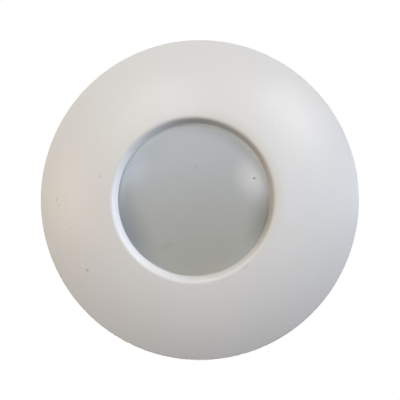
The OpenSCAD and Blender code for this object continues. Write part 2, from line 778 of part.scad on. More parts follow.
module lamp_base() {
    skirt_r = lamp_neck_r + base_flare;
    body_r = lamp_neck_r + base_flare / 5;
    body_h = lamp_base_h - base_skirt;
    color([0.92, 0.91, 0.88]) difference() {
        union() {
            translate([0, 0, lamp_neck_z - base_cup]) cylinder(r = skirt_r, h = base_cup + base_skirt);
            translate([0, 0, lamp_neck_z + base_skirt]) {
                cylinder(r1 = skirt_r, r2 = body_r, h = base_flare);
                intersection() {
                    cylinder(r = body_r, h = body_h);
                    translate([-lamp_r, -base_flat_w / 2, 0]) cube([lamp_d, base_flat_w, body_h]);
                }
            }
        }
        translate([0, 0, lamp_neck_z - base_cup - over])
            cylinder(r = lamp_neck_r + slip, h = base_cup + over);
        translate([-stem[0] / 2 - slip, -stem[1] / 2 - slip, lamp_neck_z - over])
            cube([stem[0] + 2 * slip, stem[1] + 2 * slip, stem_depth + over + slip]);
    }
}

module lamp_pins() {
    color([0.78, 0.76, 0.7]) for (s = [-1, 1]) translate([s * lamp_pin_pitch / 2, 0, 0]) {
        translate([0, 0, lamp_end]) cylinder(r = pin_neck_r, h = pin_head_z - lamp_end + slip);
        translate([0, 0, pin_head_z]) cylinder(r = pin_head_r, h = pin_head_h - pin_edge);
        translate([0, 0, pin_head_z + pin_head_h - pin_edge])
            cylinder(r1 = pin_head_r, r2 = pin_head_r - pin_edge, h = pin_edge);
    }
}

// ---- Holder, bracket and wiring ----

// Two keyhole slots: each lets a pin's head in, and its neck turns along the arc to the locked end
module holder_slots() {
    mid = lamp_pin_pitch / 2;
    w = pin_neck_r + pin_play;
    for (a = [0, 180]) rotate([0, 0, a]) {
        rotate([0, 0, -lamp_twist]) {
            rotate_extrude(angle = lamp_twist) translate([mid - w, -over])
                square([2 * w, slot_plate + 2 * over]);
            translate([mid, 0, -over]) cylinder(r = pin_head_r + pin_play, h = slot_plate + 2 * over);
        }
        translate([mid, 0, -over]) cylinder(r = w, h = slot_plate + 2 * over);
    }
}

module lamp_holder() {
    head_mid = lamp_pin_pitch / 2;
    head_room = pin_head_r + cavity_play;
    color([0.93, 0.92, 0.89]) difference() {
        union() {
            translate([0, 0, holder_z]) cylinder(d = holder_d - 2 * over, h = 2 * holder_foot);
            translate([0, 0, holder_z + holder_foot]) cylinder(d = holder_d, h = holder_h - holder_foot);
        }
        translate([0, 0, holder_z]) holder_slots();
        translate([0, 0, cavity_z]) ring(head_mid - head_room, head_mid + head_room, 0, cavity_h);
        // passages for the two leads, and sockets for the two screws
        for (s = [-1, 1]) {
            translate([s * holder_exit[0], holder_exit[1], cavity_z + cavity_h + holder_exit_z])
                cylinder(r = lead_d / 2 + slip, h = holder_h);
            translate([s * holder_screw[0], holder_screw[1], holder_top - holder_socket])
                cylinder(r = holder_screw_r + slip / 2, h = holder_socket + over);
        }
    }
}

// Sprung bronze strips that press on the ends of the lamp's pins
module holder_contacts() {
    color([0.72, 0.55, 0.3]) for (s = [-1, 1])
        translate([s * lamp_pin_pitch / 2, 0, cavity_z + cavity_h - strip_t]) {
            translate([-strip_w / 2, -strip_w / 2, 0]) cube([strip_w, strip_w, strip_t]);
            translate([-strip_w / 3, -strip_w / 3, -dimple_r]) cylinder(r = dimple_r, h = dimple_r + slip);
        }
}

module holder_screws() {
    color([0.75, 0.75, 0.77]) for (s = [-1, 1])
        translate([s * holder_screw[0], holder_screw[1], bracket_top])
            screw(holder_screw_r, holder_screw_l, holder_head);
}

module bracket_hole(x, y, r, below = over) {
    translate([x, y, holder_top - below]) cylinder(r = r, h = bracket_t + below + over);
}

module wiring_bracket() {
    color([0.74, 0.75, 0.76]) difference() {
        union() {
            translate([0, 0, holder_top]) linear_extrude(height = bracket_t) intersection() {
                circle(r = can_in - loose);
                square([bracket_w, 2 * can_in], center = true);
            }
            // folded edges that stiffen the strip
            for (s = [-1, 1]) translate([s * (bracket_w - bracket_t) / 2, 0, holder_top + hem_h / 2])
                cube([bracket_t, hem_l, hem_h], center = true);
            // drawn collar that gives the earth screw its thread
            translate([0, earth_y, holder_top - earth_collar_h])
                cylinder(r = earth_screw_r + earth_collar_t, h = earth_collar_h + fuse);
        }
        translate([-window[0] / 2, window_y - window[1] / 2, holder_top - over])
            cube([window[0], window[1], bracket_t + 2 * over]);
        for (s = [-1, 1]) {
            bracket_hole(0, s * bracket_screw_y, bracket_screw_r + loose);
            bracket_hole(s * holder_screw[0], holder_screw[1], holder_screw_r + loose);
            bracket_hole(s * block_screw_x, block_y, block_screw_r + slip / 2);
        }
        bracket_hole(0, earth_y, earth_screw_r + slip / 2, earth_collar_h + over);
    }
}

module bracket_screws() {
    color([0.75, 0.75, 0.77]) for (s = [-1, 1])
        translate([0, s * bracket_screw_y, bracket_top])
            screw(bracket_screw_r, bracket_screw_l, bracket_head);
}

module terminal_block() {
    color([0.94, 0.94, 0.91]) difference() {
        union() {
            translate([-block_l / 2, block_front, bracket_top])
                cube([block_l, block_w, block_h - block_step]);
            for (x = pole_x) translate([x - pole_w / 2, block_front, bracket_top])
                cube([pole_w, block_w, block_h]);
        }
        for (x = pole_x) {
            translate([x, block_y, bore_z]) rotate([90, 0, 0])
                cylinder(r = insert_r + slip, h = block_w + 2 * over, center = true);
            for (y = terminal_screw_y) translate([x, y, bore_z]) cylinder(r = terminal_well_r, h = block_h);
        }
        for (s = [-1, 1]) translate([s * block_screw_x, block_y, bracket_top - over]) {
            cylinder(r = block_screw_r + loose, h = block_h);
            translate([0, 0, block_screw_z - bracket_top + over])
                cylinder(r = block_well[0], h = block_well[1] + over);
        }
    }
}

module terminal_inserts() {
    color([0.8, 0.66, 0.36]) for (x = pole_x) difference() {
        translate([x, block_y, bore_z]) rotate([90, 0, 0])
            cylinder(r = insert_r, h = block_w - 2 * insert_recess, center = true);
        translate([x, block_y, bore_z]) rotate([90, 0, 0])
            cylinder(r = insert_bore, h = block_w + 2 * over, center = true);
        for (y = terminal_screw_y) translate([x, y, bore_z])
            cylinder(r = terminal_screw_r + slip / 2, h = insert_r + over);
    }
}

// A terminal screw reaches into its insert's bore, and its head lies in the well over it
module terminal_screws() {
    foot = bore_z + insert_bore / 2;
    neck = bore_z + insert_r + slip;
    color([0.78, 0.7, 0.5]) for (x = pole_x) for (y = terminal_screw_y)
        translate([x, y, neck]) screw(terminal_screw_r, neck - foot, terminal_head);
}

module block_screws() {
    color([0.75, 0.75, 0.77]) for (s = [-1, 1])
        translate([s * block_screw_x, block_y, block_screw_z])
            screw(block_screw_r, block_screw_z - holder_top - 2 * slip, block_head);
}

// A quarter turn from straight up at start to level along +Y at finish
function rising(start, finish, steps) =
    let (run = finish[1] - start[1], lift = finish[2] - start[2])
    [for (i = [0:steps]) let (t = i / steps, a = 90 * t)
        [start[0] + (finish[0] - start[0]) * t * t * (3 - 2 * t),
         start[1] + run * (1 - cos(a)), start[2] + lift * sin(a)]];

// A lead rises out of the holder and bends over into its terminal
module holder_lead(s) {
    foot = [s * holder_exit[0], holder_exit[1], cavity_z + cavity_h + holder_exit_z + 2 * slip];
    bend = [foot[0], foot[1], bracket_top + 2 * slip];
    mouth = [s * pole_pitch, block_front, bore_z];
    tube(concat([foot], rising(bend, mouth, 10), [mouth + [0, lead_end, 0]]), lead_d / 2, 8, [1, 0, 0]);
}

module live_lead() {
    color([0.45, 0.26, 0.16]) holder_lead(-1);
}

module neutral_lead() {
    color([0.2, 0.36, 0.6]) holder_lead(1);
}

// The earth lead comes out of the middle terminal and bends down, in a double bend, to its eye
module earth_lead() {
    steps = 12;
    crimped = 2.5;
    low = [0, barrel_y + barrel_l - crimped, barrel_z];
    high = [0, block_front, bore_z];
    run = high[1] - low[1] - crimped;
    bend = [for (i = [0:steps]) let (t = i / steps)
        [0, low[1] + crimped + run * t, low[2] + (high[2] - low[2]) * t * t * (3 - 2 * t)]];
    color([0.45, 0.6, 0.25])
        tube(concat([low], bend, [high + [0, lead_end, 0]]), lead_d / 2, 8, [1, 0, 0]);
}

// A crimped eye: its flat tongue lies under the earth screw, and its barrel grips the lead
module earth_terminal() {
    color([0.78, 0.78, 0.76]) difference() {
        union() {
            translate([0, earth_y, bracket_top]) cylinder(r = eye_r, h = eye_t);
            translate([-tongue_w / 2, earth_y, bracket_top])
                cube([tongue_w, barrel_y - earth_y + fuse, eye_t]);
            translate([0, barrel_y, barrel_z]) rotate([-90, 0, 0]) cylinder(r = barrel_r, h = barrel_l);
        }
        translate([0, barrel_y - over, barrel_z]) rotate([-90, 0, 0])
            cylinder(r = lead_d / 2 + slip / 5, h = barrel_l + 2 * over);
        translate([0, earth_y, bracket_top - over])
            cylinder(r = earth_screw_r + slip, h = eye_t + 2 * over);
    }
}

module earth_screw() {
    color([0.8, 0.66, 0.36]) translate([0, earth_y, bracket_top + eye_t])
        screw(earth_screw_r, earth_screw_l, earth_head);
}

// ---- Cable gland ----

module gland_body() {
    color([0.17, 0.17, 0.18]) difference() {
        union() {
            translate([0, 0, gland_bottom])
                cylinder(r = gland_thread_r, h = gland_hex_z - gland_bottom + fuse);
            translate([0, 0, gland_hex_z]) hexagon(gland_hex, gland_hex_h);
            translate([0, 0, gland_spigot_z - fuse]) cylinder(r = gland_spigot_r, h = gland_spigot_h + fuse);
        }
        translate([0, 0, gland_bottom - over])
            cylinder(r = gland_way_r, h = gland_spigot_top - gland_bottom + 2 * over);
        translate([0, 0, gland_seal_z]) cylinder(r = gland_socket_r, h = gland_spigot_h + over);
    }
}

module gland_washer() {
    color([0.2, 0.2, 0.21])
        ring(gland_thread_r + locknut_play, gland_hex / 2 + gland_washer_rim, cover_top, gland_hex_z);
}

module gland_locknut() {
    color([0.17, 0.17, 0.18]) translate([0, 0, cover_z - locknut_t]) difference() {
        hexagon(gland_hex + 2, locknut_t);
        translate([0, 0, -over]) cylinder(r = gland_thread_r + locknut_play, h = locknut_t + 2 * over);
    }
}

module gland_seal() {
    outer = gland_socket_r - slip;
    color([0.24, 0.24, 0.25]) rotate_extrude() polygon([
        [cable_r, gland_seal_z], [outer, gland_seal_z], [outer, gland_seal_top - gland_seal_taper[1]],
        [outer - gland_seal_taper[0], gland_seal_top], [cable_r, gland_seal_top]
    ]);
}

// A smooth washer that lets the nut turn without dragging the seal round
module gland_clamp_ring() {
    color([0.85, 0.85, 0.83])
        ring(gland_way_r - 2 * slip, gland_socket_r + 2 * slip, gland_seal_top, gland_ring_top);
}

module gland_nut() {
    top = nut_shelf + nut_lip;
    nut_h = top - nut_z;
    round_z = 0.45 * nut_h;
    wide = gland_hex / cos(30) / 2 + fuse;
    color([0.17, 0.17, 0.18]) difference() {
        translate([0, 0, nut_z]) intersection() {
            hexagon(gland_hex, nut_h);
            // the dome that rounds the hexagon's upper end
            rotate_extrude() polygon(concat(
                [[0, 0], [wide, 0]],
                arc([wide - nut_round_r, round_z], nut_round_r, 0, 60, small_steps),
                [[nut_way_r + edge_cut, nut_h], [0, nut_h]]
            ));
        }
        translate([0, 0, nut_z - over])
            cylinder(r = gland_spigot_r + thread_gap, h = nut_shelf - nut_z + over);
        translate([0, 0, nut_z]) cylinder(r = nut_way_r, h = nut_h + over);
    }
}

bezel();
glass_seal();
front_glass();
glass_retaining_ring();
bezel_o_ring();
housing();
soffit_gasket();
rear_cover();
cover_gasket();
cover_screws();
pivot_pin();  // pivot_pin_right
rotate([0, 0, 180]) pivot_pin();  // pivot_pin_left
clip_spring();  // clip_spring_right
rotate([0, 0, 180]) clip_spring();  // clip_spring_left
clip_arm();  // clip_arm_right
rotate([0, 0, 180]) clip_arm();  // clip_arm_left
arm_sleeve();  // arm_sleeve_right
rotate([0, 0, 180]) arm_sleeve();  // arm_sleeve_left
lamp_reflector();
lamp_front_lens();
lamp_capsule();
lamp_base();
lamp_pins();
lamp_holder();
holder_contacts();
holder_screws();
wiring_bracket();
bracket_screws();
terminal_block();
terminal_inserts();
terminal_screws();
block_screws();
live_lead();
neutral_lead();
earth_lead();
earth_terminal();
earth_screw();
gland_body();
gland_washer();
gland_locknut();
gland_seal();
gland_clamp_ring();
gland_nut();
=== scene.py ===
"""A recessed soffit downlight: a white domed bezel with a frosted glass, a finned cast can with a
reflector lamp in it, two sprung arms, and a cable gland on its cover. Lengths are in metres.
The light looks down, along -Z, and +Z goes up through the soffit board into the roof void."""
import json
import math

import bmesh
import bpy
from mathutils import Matrix, Vector


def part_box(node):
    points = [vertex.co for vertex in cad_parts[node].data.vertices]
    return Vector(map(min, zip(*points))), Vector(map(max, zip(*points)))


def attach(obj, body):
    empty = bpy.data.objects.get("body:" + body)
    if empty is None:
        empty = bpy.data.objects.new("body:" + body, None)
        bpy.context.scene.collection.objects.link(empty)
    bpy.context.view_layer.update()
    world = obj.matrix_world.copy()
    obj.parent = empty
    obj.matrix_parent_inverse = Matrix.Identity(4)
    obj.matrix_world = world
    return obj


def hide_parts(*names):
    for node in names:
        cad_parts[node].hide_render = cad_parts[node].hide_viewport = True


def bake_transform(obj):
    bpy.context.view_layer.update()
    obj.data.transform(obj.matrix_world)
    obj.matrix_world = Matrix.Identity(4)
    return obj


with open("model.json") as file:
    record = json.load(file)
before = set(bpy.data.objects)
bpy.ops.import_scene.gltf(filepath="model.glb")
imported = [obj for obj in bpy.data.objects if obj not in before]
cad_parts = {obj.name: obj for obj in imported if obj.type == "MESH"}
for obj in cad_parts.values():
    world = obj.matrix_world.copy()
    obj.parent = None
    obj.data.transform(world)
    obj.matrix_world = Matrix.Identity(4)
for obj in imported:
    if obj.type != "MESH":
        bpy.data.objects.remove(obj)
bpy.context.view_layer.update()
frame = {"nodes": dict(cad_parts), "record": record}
MM = 0.001

# ---------------------------------------------------------------- measures taken from the frame

bezel_low, bezel_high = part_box("bezel")
ring_low, ring_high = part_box("glass_retaining_ring")

RIM_R = 55 * MM
POCKET_R = 31 * MM
COLLAR_R = 33 * MM
LIP_Z = bezel_low.z
COLLAR_TOP = bezel_high.z
RING_Z = (ring_low.z, ring_high.z)
SEAT_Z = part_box("glass_seal")[0].z
O_RING_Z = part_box("bezel_o_ring")[0].z
FLANGE_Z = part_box("housing")[0].z


# ---------------------------------------------------------------- modelling helpers

def finished(name, bm, body, slot, replaces=(), smooth=40):
    """Turns a bmesh into a piece with the finish of its slot, which rides on a body if one is
    given. Edges that turn by more than smooth degrees stay sharp."""
    bmesh.ops.remove_doubles(bm, verts=bm.verts, dist=1e-7)
    bmesh.ops.recalc_face_normals(bm, faces=bm.faces)
    mesh = bpy.data.meshes.new(name)
    bm.to_mesh(mesh)
    bm.free()
    mesh.polygons.foreach_set("use_smooth", [True] * len(mesh.polygons))
    mesh.set_sharp_from_angle(angle=math.radians(smooth))
    mesh.materials.append(FINISHES[slot])
    piece = bpy.data.objects.new(name, mesh)
    bpy.context.scene.collection.objects.link(piece)
    if body:
        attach(piece, body)
    if replaces:
        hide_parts(*replaces)
    return piece


def arc(mid, radius, start, end, steps):
    """Points (r, z) along an arc, between two angles in degrees."""
    angles = [math.radians(start + (end - start) * i / steps) for i in range(steps + 1)]
    return [(mid[0] + radius * math.cos(a), mid[1] + radius * math.sin(a)) for a in angles]


def closed_loop(bm, points):
    """The vertices and edges of a closed outline."""
    verts = [bm.verts.new(point) for point in points]
    return verts + [bm.edges.new((verts[i - 1], verts[i])) for i in range(len(verts))]


def revolve(bm, outline, steps):
    """Spins a closed outline of (r, z) points about the object's axis."""
    loop = closed_loop(bm, [(r, 0, z) for r, z in outline])
    bmesh.ops.spin(bm, geom=loop, cent=(0, 0, 0), axis=(0, 0, 1), dvec=(0, 0, 0),
                   angle=2 * math.pi, steps=steps, use_merge=True, use_duplicate=False)


def thread(bm, radius, depth, low, high, pitch, starts, steps=72):
    """Rounded screw ridges that stand out of a wall (depth over 0) or in from it (under 0)."""
    turns = (high - low) / (pitch * starts)
    total = int(steps * turns)
    half_foot = pitch * 0.28
    half_crest = half_foot * 0.35
    sunk = radius - 0.3 * depth
    shoulder = radius + 0.8 * depth
    crest = radius + depth
    shape = [(sunk, -half_foot), (shoulder, -half_crest), (crest, 0),
             (shoulder, half_crest), (sunk, half_foot)]
    for start in range(starts):
        turn = Matrix.Rotation(2 * math.pi * start / starts, 4, "Z")
        loop = closed_loop(bm, [turn @ Vector((r, 0, low + z)) for r, z in shape])
        bmesh.ops.spin(bm, geom=loop, cent=(0, 0, 0), axis=(0, 0, 1),
                       dvec=(0, 0, (high - low) / total), angle=2 * math.pi * turns, steps=total,
                       use_merge=False, use_duplicate=False)
    ends = [edge for edge in bm.edges if edge.is_boundary]
    bmesh.ops.holes_fill(bm, edges=ends, sides=len(shape))


def tube(bm, path, radius, sides):
    """A round bar along a path, closed at both ends."""
    rings = []
    angles = [2 * math.pi * k / sides for k in range(sides)]
    axes = (Vector((1, 0, 0)), Vector((0, 1, 0)), Vector((0, 0, 1)))
    side = min(axes, key=lambda axis: abs(axis.dot(path[1] - path[0])))
    for i, point in enumerate(path):
        ahead = (path[min(i + 1, len(path) - 1)] - path[max(i - 1, 0)]).normalized()
        side = (side - ahead * side.dot(ahead)).normalized()
        up = ahead.cross(side)
        rings.append(closed_loop(
            bm, [point + radius * (math.cos(a) * side + math.sin(a) * up) for a in angles]))
    for ring, following in zip(rings, rings[1:]):
        bmesh.ops.bridge_loops(bm, edges=ring[sides:] + following[sides:])
    for ring in (rings[0], rings[-1]):
        bm.faces.new(ring[:sides])


def middle(name):
    """The middle of a node's box."""
    low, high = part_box(name)
    return (low + high) / 2


def half_turned(points):
    """The same points on the other side of the object's axis."""
    return [Vector((-point.x, -point.y, point.z)) for point in points]


# ---------------------------------------------------------------- shader groups

def new_group(name, inputs, outputs):
    """A node group with named inputs, which hold default values, and named outputs."""
    group = bpy.data.node_groups.new(name, "ShaderNodeTree")
    for label, value in inputs:
        socket = group.interface.new_socket(name=label, in_out="INPUT", socket_type="NodeSocketFloat")
        socket.default_value = value
    for label in outputs:
        group.interface.new_socket(name=label, in_out="OUTPUT", socket_type="NodeSocketFloat")
    return group, group.nodes.new("NodeGroupInput"), group.nodes.new("NodeGroupOutput")


def math_node(tree, operation, a, b=None, clamp=False):
    """An operation on one or two values, each a number or a socket."""
    node = tree.nodes.new("ShaderNodeMath")
    node.operation = operation
    node.use_clamp = clamp
    for socket, value in zip(node.inputs, (a, b)):
        if value is None:
            continue
        if isinstance(value, (int, float)):
            socket.default_value = value
        else:
            tree.links.new(value, socket)
    return node.outputs[0]


def noise(tree, vector, scale, detail, roughness=0.55, distortion=0.0):
    """Soft noise from 0 to 1. The scale, in waves a metre, is a number or a socket."""
    node = tree.nodes.new("ShaderNodeTexNoise")
    node.inputs["Detail"].default_value = detail
    node.inputs["Roughness"].default_value = roughness
    node.inputs["Distortion"].default_value = distortion
    tree.links.new(vector, node.inputs["Vector"])
    if isinstance(scale, (int, float)):
        node.inputs["Scale"].default_value = scale
    else:
        tree.links.new(scale, node.inputs["Scale"])
    return node.outputs["Fac"]


def steps_between(tree, value, low, high):
    """0 below low, 1 above high, and a smooth rise between them."""
    node = tree.nodes.new("ShaderNodeMapRange")
    node.interpolation_type = "SMOOTHSTEP"
    node.inputs["From Min"].default_value = low
    node.inputs["From Max"].default_value = high
    tree.links.new(value, node.inputs["Value"])
    return node.outputs["Result"]


def object_place(tree):
    """The place on the object, in metres."""
    return tree.nodes.new("ShaderNodeTexCoord").outputs["Object"]


def place_along(tree, axis):
    """The place on the object along one axis, in metres."""
    split = tree.nodes.new("ShaderNodeSeparateXYZ")
    tree.links.new(object_place(tree), split.inputs[0])
    return split.outputs[axis]


def from_axis(tree):
    """Distance from the object's axis, in metres."""
    level = tree.nodes.new("ShaderNodeMapping")
    level.inputs["Scale"].default_value = (1, 1, 0)
    tree.links.new(object_place(tree), level.inputs["Vector"])
    length = tree.nodes.new("ShaderNodeVectorMath")
    length.operation = "LENGTH"
    tree.links.new(level.outputs["Vector"], length.inputs[0])
    return length.outputs["Value"]


def make_skin_group():
    """Fine relief in two sizes, as paint, castings and mouldings have."""
    group, given, result = new_group(
        "Surface Skin", [("Coarse", 400.0), ("Fine", 2500.0), ("Fine Share", 0.4)], ["Height"])
    place = object_place(group)
    coarse = noise(group, place, given.outputs["Coarse"], 2.0)
    fine = noise(group, place, given.outputs["Fine"], 2.0)
    share = math_node(group, "MULTIPLY", fine, given.outputs["Fine Share"])
    group.links.new(math_node(group, "ADD", coarse, share), result.inputs["Height"])
    return group


def make_mottle_group():
    """Slow variation of tone and gloss: handling marks, flow marks and thin dust."""
    group, given, result = new_group("Mottle", [("Scale", 40.0), ("Streak", 6.0)], ["Tone", "Dust"])
    place = object_place(group)
    tone = noise(group, place, given.outputs["Scale"], 4.0, 0.6, 0.4)
    group.links.new(steps_between(group, tone, 0.3, 0.7), result.inputs["Tone"])
    finer = math_node(group, "MULTIPLY", given.outputs["Scale"], given.outputs["Streak"])
    specks = noise(group, place, finer, 5.0, 0.7)
    group.links.new(steps_between(group, specks, 0.62, 0.8), result.inputs["Dust"])
    return group


def make_scratch_group():
    """Thin, short scratches in a few directions."""
    group, given, result = new_group("Scratches", [("Density", 60.0), ("Amount", 0.5)], ["Mask"])
    place = object_place(group)
    total = None
    for turn in (0.3, 1.4, 2.5):
        mapping = group.nodes.new("ShaderNodeMapping")
        mapping.inputs["Rotation"].default_value = (turn * 0.7, turn * 0.4, turn)
        mapping.inputs["Scale"].default_value = (1.0, 16.0, 16.0)
        group.links.new(place, mapping.inputs["Vector"])
        strokes = noise(group, mapping.outputs["Vector"], given.outputs["Density"], 1.0, 0.5)
        line = steps_between(group, strokes, 0.72, 0.76)
        total = line if total is None else math_node(group, "MAXIMUM", total, line)
    group.links.new(math_node(group, "MULTIPLY", total, given.outputs["Amount"]), result.inputs["Mask"])
    return group


def make_edge_group():
    """Where the surface turns sharply outwards: worn, thin or bright edges."""
    group, given, result = new_group("Edge Wear", [("Width", 0.0004), ("Amount", 1.0)], ["Mask"])
    bevel = group.nodes.new("ShaderNodeBevel")
    bevel.samples = 4
    group.links.new(given.outputs["Width"], bevel.inputs["Radius"])
    geometry = group.nodes.new("ShaderNodeNewGeometry")
    dot = group.nodes.new("ShaderNodeVectorMath")
    dot.operation = "DOT_PRODUCT"
    group.links.new(bevel.outputs["Normal"], dot.inputs[0])
    group.links.new(geometry.outputs["Normal"], dot.inputs[1])
    turned = math_node(group, "SUBTRACT", 1.0, dot.outputs["Value"])
    place = object_place(group)
    patchy = steps_between(group, noise(group, place, 350.0, 4.0, 0.65), 0.35, 0.65)
    mask = math_node(group, "MULTIPLY", steps_between(group, turned, 0.02, 0.2), patchy)
    group.links.new(math_node(group, "MULTIPLY", mask, given.outputs["Amount"]), result.inputs["Mask"])
    return group


skin_group = make_skin_group()
mottle_group = make_mottle_group()
scratch_group = make_scratch_group()
edge_group = make_edge_group()


# ---------------------------------------------------------------- material helpers

def place_group(tree, group, **values):
    """One use of a node group, with its own input values."""
    node = tree.nodes.new("ShaderNodeGroup")
    node.node_tree = group
    for label, value in values.items():
        node.inputs[label.replace("_", " ")].default_value = value
    return node


def blend_colour(tree, mask, under, over):
    """A colour that goes from under to over as the mask goes from 0 to 1."""
    node = tree.nodes.new("ShaderNodeMix")
    node.data_type = "RGBA"
    tree.links.new(mask, node.inputs["Factor"])
    for socket, value in ((node.inputs["A"], under), (node.inputs["B"], over)):
        if isinstance(value, tuple):
            socket.default_value = (*value, 1)
        else:
            tree.links.new(value, socket)
    return node.outputs["Result"]


def bump(tree, height, distance, normal=None):
    """The normal of a surface with relief, whose depth is the distance in metres."""
    node = tree.nodes.new("ShaderNodeBump")
    node.inputs["Distance"].default_value = distance
    node.inputs["Strength"].default_value = 1.0
    tree.links.new(height, node.inputs["Height"])
    if normal is not None:
        tree.links.new(normal, node.inputs["Normal"])
    return node.outputs["Normal"]


def soft_edges(tree, radius):
    """The normal of the same surface with its sharp edges slightly rounded."""
    node = tree.nodes.new("ShaderNodeBevel")
    node.samples = 4
    node.inputs["Radius"].default_value = radius
    return node.outputs["Normal"]


def new_material(name, **plain):
    """A material with one Principled shader, whose plain sockets are set by value."""
    material = bpy.data.materials.new(name)
    material.use_nodes = True
    tree = material.node_tree
    shader = tree.nodes["Principled BSDF"]
    for label, value in plain.items():
        shader.inputs[label.replace("_", " ")].default_value = value
    return material, tree, shader


def soft_patch(tree, radius, bearing, reach, turn=0.0):
    """1 at a place given by its distance and bearing from the object's axis, fading to 0 at the
    edge of an ellipse. reach is its half size outwards and crossways. Lengths are in millimetres."""
    at = math.radians(bearing)
    mapping = tree.nodes.new("ShaderNodeMapping")
    mapping.vector_type = "TEXTURE"
    spot = radius * MM * Vector((math.cos(at), math.sin(at), 0))
    mapping.inputs["Location"].default_value = spot
    mapping.inputs["Rotation"].default_value = (0, 0, at + math.radians(turn))
    mapping.inputs["Scale"].default_value = (reach[0] * MM, reach[1] * MM, 1)
    tree.links.new(object_place(tree), mapping.inputs["Vector"])
    ball = tree.nodes.new("ShaderNodeTexGradient")
    ball.gradient_type = "SPHERICAL"
    tree.links.new(mapping.outputs["Vector"], ball.inputs["Vector"])
    return ball.outputs["Fac"]


def colour_of(material):
    """The material's node tree, its Base Color socket, and what feeds it."""
    tree = material.node_tree
    socket = tree.nodes["Principled BSDF"].inputs["Base Color"]
    return tree, socket, socket.links[0].from_socket


def add_patch(tree, paint, colour, strength, radius, bearing, reach, turn=0.0, sharp=1.0):
    """The paint with a soft patch of another colour over it. Under 1, sharp gives it a wider
    middle and a sharper edge."""
    mask = steps_between(tree, soft_patch(tree, radius, bearing, reach, turn), 0.0, sharp)
    return blend_colour(tree, math_node(tree, "MULTIPLY", mask, strength), paint, colour)


def gloss_between(tree, tone, rough):
    """Roughness from its glossiest to its dullest value as the tone goes from 0 to 1."""
    gloss = math_node(tree, "MULTIPLY_ADD", tone, rough[1] - rough[0])
    gloss.node.inputs[2].default_value = rough[0]
    return gloss


DUST_COLOUR = (0.36, 0.34, 0.31)
SCRATCH_ROUGHNESS = 0.25
WEAR_TO_EDGE = 1.6


def surface(name, colour, toned, rough, coarse, fine, depth, edge, edge_colour=None,
            mottle=40.0, dust=0.0, scratches=0.0, **plain):
    """A mottled surface with fine relief, soft edges and, where asked, wear, dust and scratches.
    rough is the roughness from its glossiest to its dullest place. coarse, fine and mottle are in
    waves a metre, and depth, of the relief, and edge, the edges' radius, are in metres."""
    material, tree, shader = new_material(name, **plain)
    link = tree.links.new
    mottled = place_group(tree, mottle_group, Scale=mottle)
    paint = blend_colour(tree, mottled.outputs["Tone"], colour, toned)
    if dust:
        dusty = math_node(tree, "MULTIPLY", mottled.outputs["Dust"], dust)
        paint = blend_colour(tree, dusty, paint, DUST_COLOUR)
    if edge_colour:
        worn = place_group(tree, edge_group, Width=edge * WEAR_TO_EDGE)
        paint = blend_colour(tree, worn.outputs["Mask"], paint, edge_colour)
    link(paint, shader.inputs["Base Color"])
    gloss = gloss_between(tree, mottled.outputs["Tone"], rough)
    if scratches:
        marks = place_group(tree, scratch_group, Amount=scratches)
        scratched = math_node(tree, "MULTIPLY", marks.outputs["Mask"], SCRATCH_ROUGHNESS)
        gloss = math_node(tree, "ADD", gloss, scratched, clamp=True)
    link(gloss, shader.inputs["Roughness"])
    relief = place_group(tree, skin_group, Coarse=coarse, Fine=fine)
    rounded = soft_edges(tree, edge)
    link(bump(tree, relief.outputs["Height"], depth, normal=rounded), shader.inputs["Normal"])
    return material


# ---------------------------------------------------------------- finishes

# Marks are given in millimetres and degrees. Scuffs on the bezel: colour, strength, distance and
# bearing from the axis, half size outwards and crossways, and turn.
BEZEL_MARKS = (
    ((0.55, 0.53, 0.50), 0.45, 47.7, 0.2, (0.6, 1.3), 0.0),
    ((0.55, 0.53, 0.50), 0.40, 47.0, 357.7, (0.5, 0.9), 20.0),
    ((0.55, 0.53, 0.50), 0.40, 32.0, 13.9, (0.8, 1.0), 30.0),
    ((0.42, 0.39, 0.37), 0.60, 43.5, 326.6, (0.8, 0.7), 0.0),
    ((0.60, 0.58, 0.56), 0.35, 28.0, 231.7, (0.6, 1.4), 0.0),
    ((0.60, 0.58, 0.56), 0.30, 43.6, 346.7, (0.8, 1.0), 40.0),
    ((0.60, 0.58, 0.56), 0.30, 51.5, 39.2, (0.5, 0.8), 0.0),
)
RECESS_R = 26.0
# Painted light and shade on the lip and the recess's wall: a painted warm shade on the lip, painted shade
# on the wall at two places and a painted highlight on it at a third: colour, strength, bearing, half
# size, and the distances from the axis where it fades out.
RECESS_PAINTED_LIGHT_AND_SHADE = (
    ((0.68, 0.66, 0.58), 0.55, 145.0, 36.0, (27.4, 31.0)),
    ((0.42, 0.42, 0.42), 0.80, 118.0, 28.0, (26.3, 27.4)),
    ((0.48, 0.48, 0.46), 0.75, 172.0, 26.0, (26.3, 27.4)),
    ((1.0, 1.0, 1.0), 1.0, -15.0, 42.0, (26.3, 27.4)),
)


def make_powder_coat():
    """White satin powder coat: a fine orange peel, faint handling marks, scuffs and thin dust, with
    painted shade and a painted highlight in the recess.
    """
    material = surface("White powder coat", (0.80, 0.80, 0.79), (0.785, 0.785, 0.775), (0.36, 0.44),
                       coarse=850.0, fine=3200.0, depth=0.00006, edge=0.0002, mottle=30.0, dust=0.05,
                       IOR=1.5, Coat_Weight=0.12, Coat_Roughness=0.25)
    tree, colour, paint = colour_of(material)
    for tone, strength, radius, bearing, reach, turn in BEZEL_MARKS:
        paint = add_patch(tree, paint, tone, strength, radius, bearing, reach, turn, sharp=0.7)
    # Painted shade and a painted highlight on the lip and the recess's wall, in rings round the axis.
    for tone, strength, bearing, reach, (full, gone) in RECESS_PAINTED_LIGHT_AND_SHADE:
        mask = steps_between(tree, soft_patch(tree, RECESS_R, bearing, (reach, reach)), 0.0, 0.7)
        beyond = steps_between(tree, from_axis(tree), full * MM, gone * MM)
        mask = math_node(tree, "MULTIPLY", mask, math_node(tree, "SUBTRACT", 1.0, beyond))
        paint = blend_colour(tree, math_node(tree, "MULTIPLY", mask, strength), paint, tone)
    tree.links.new(paint, colour)
    return material
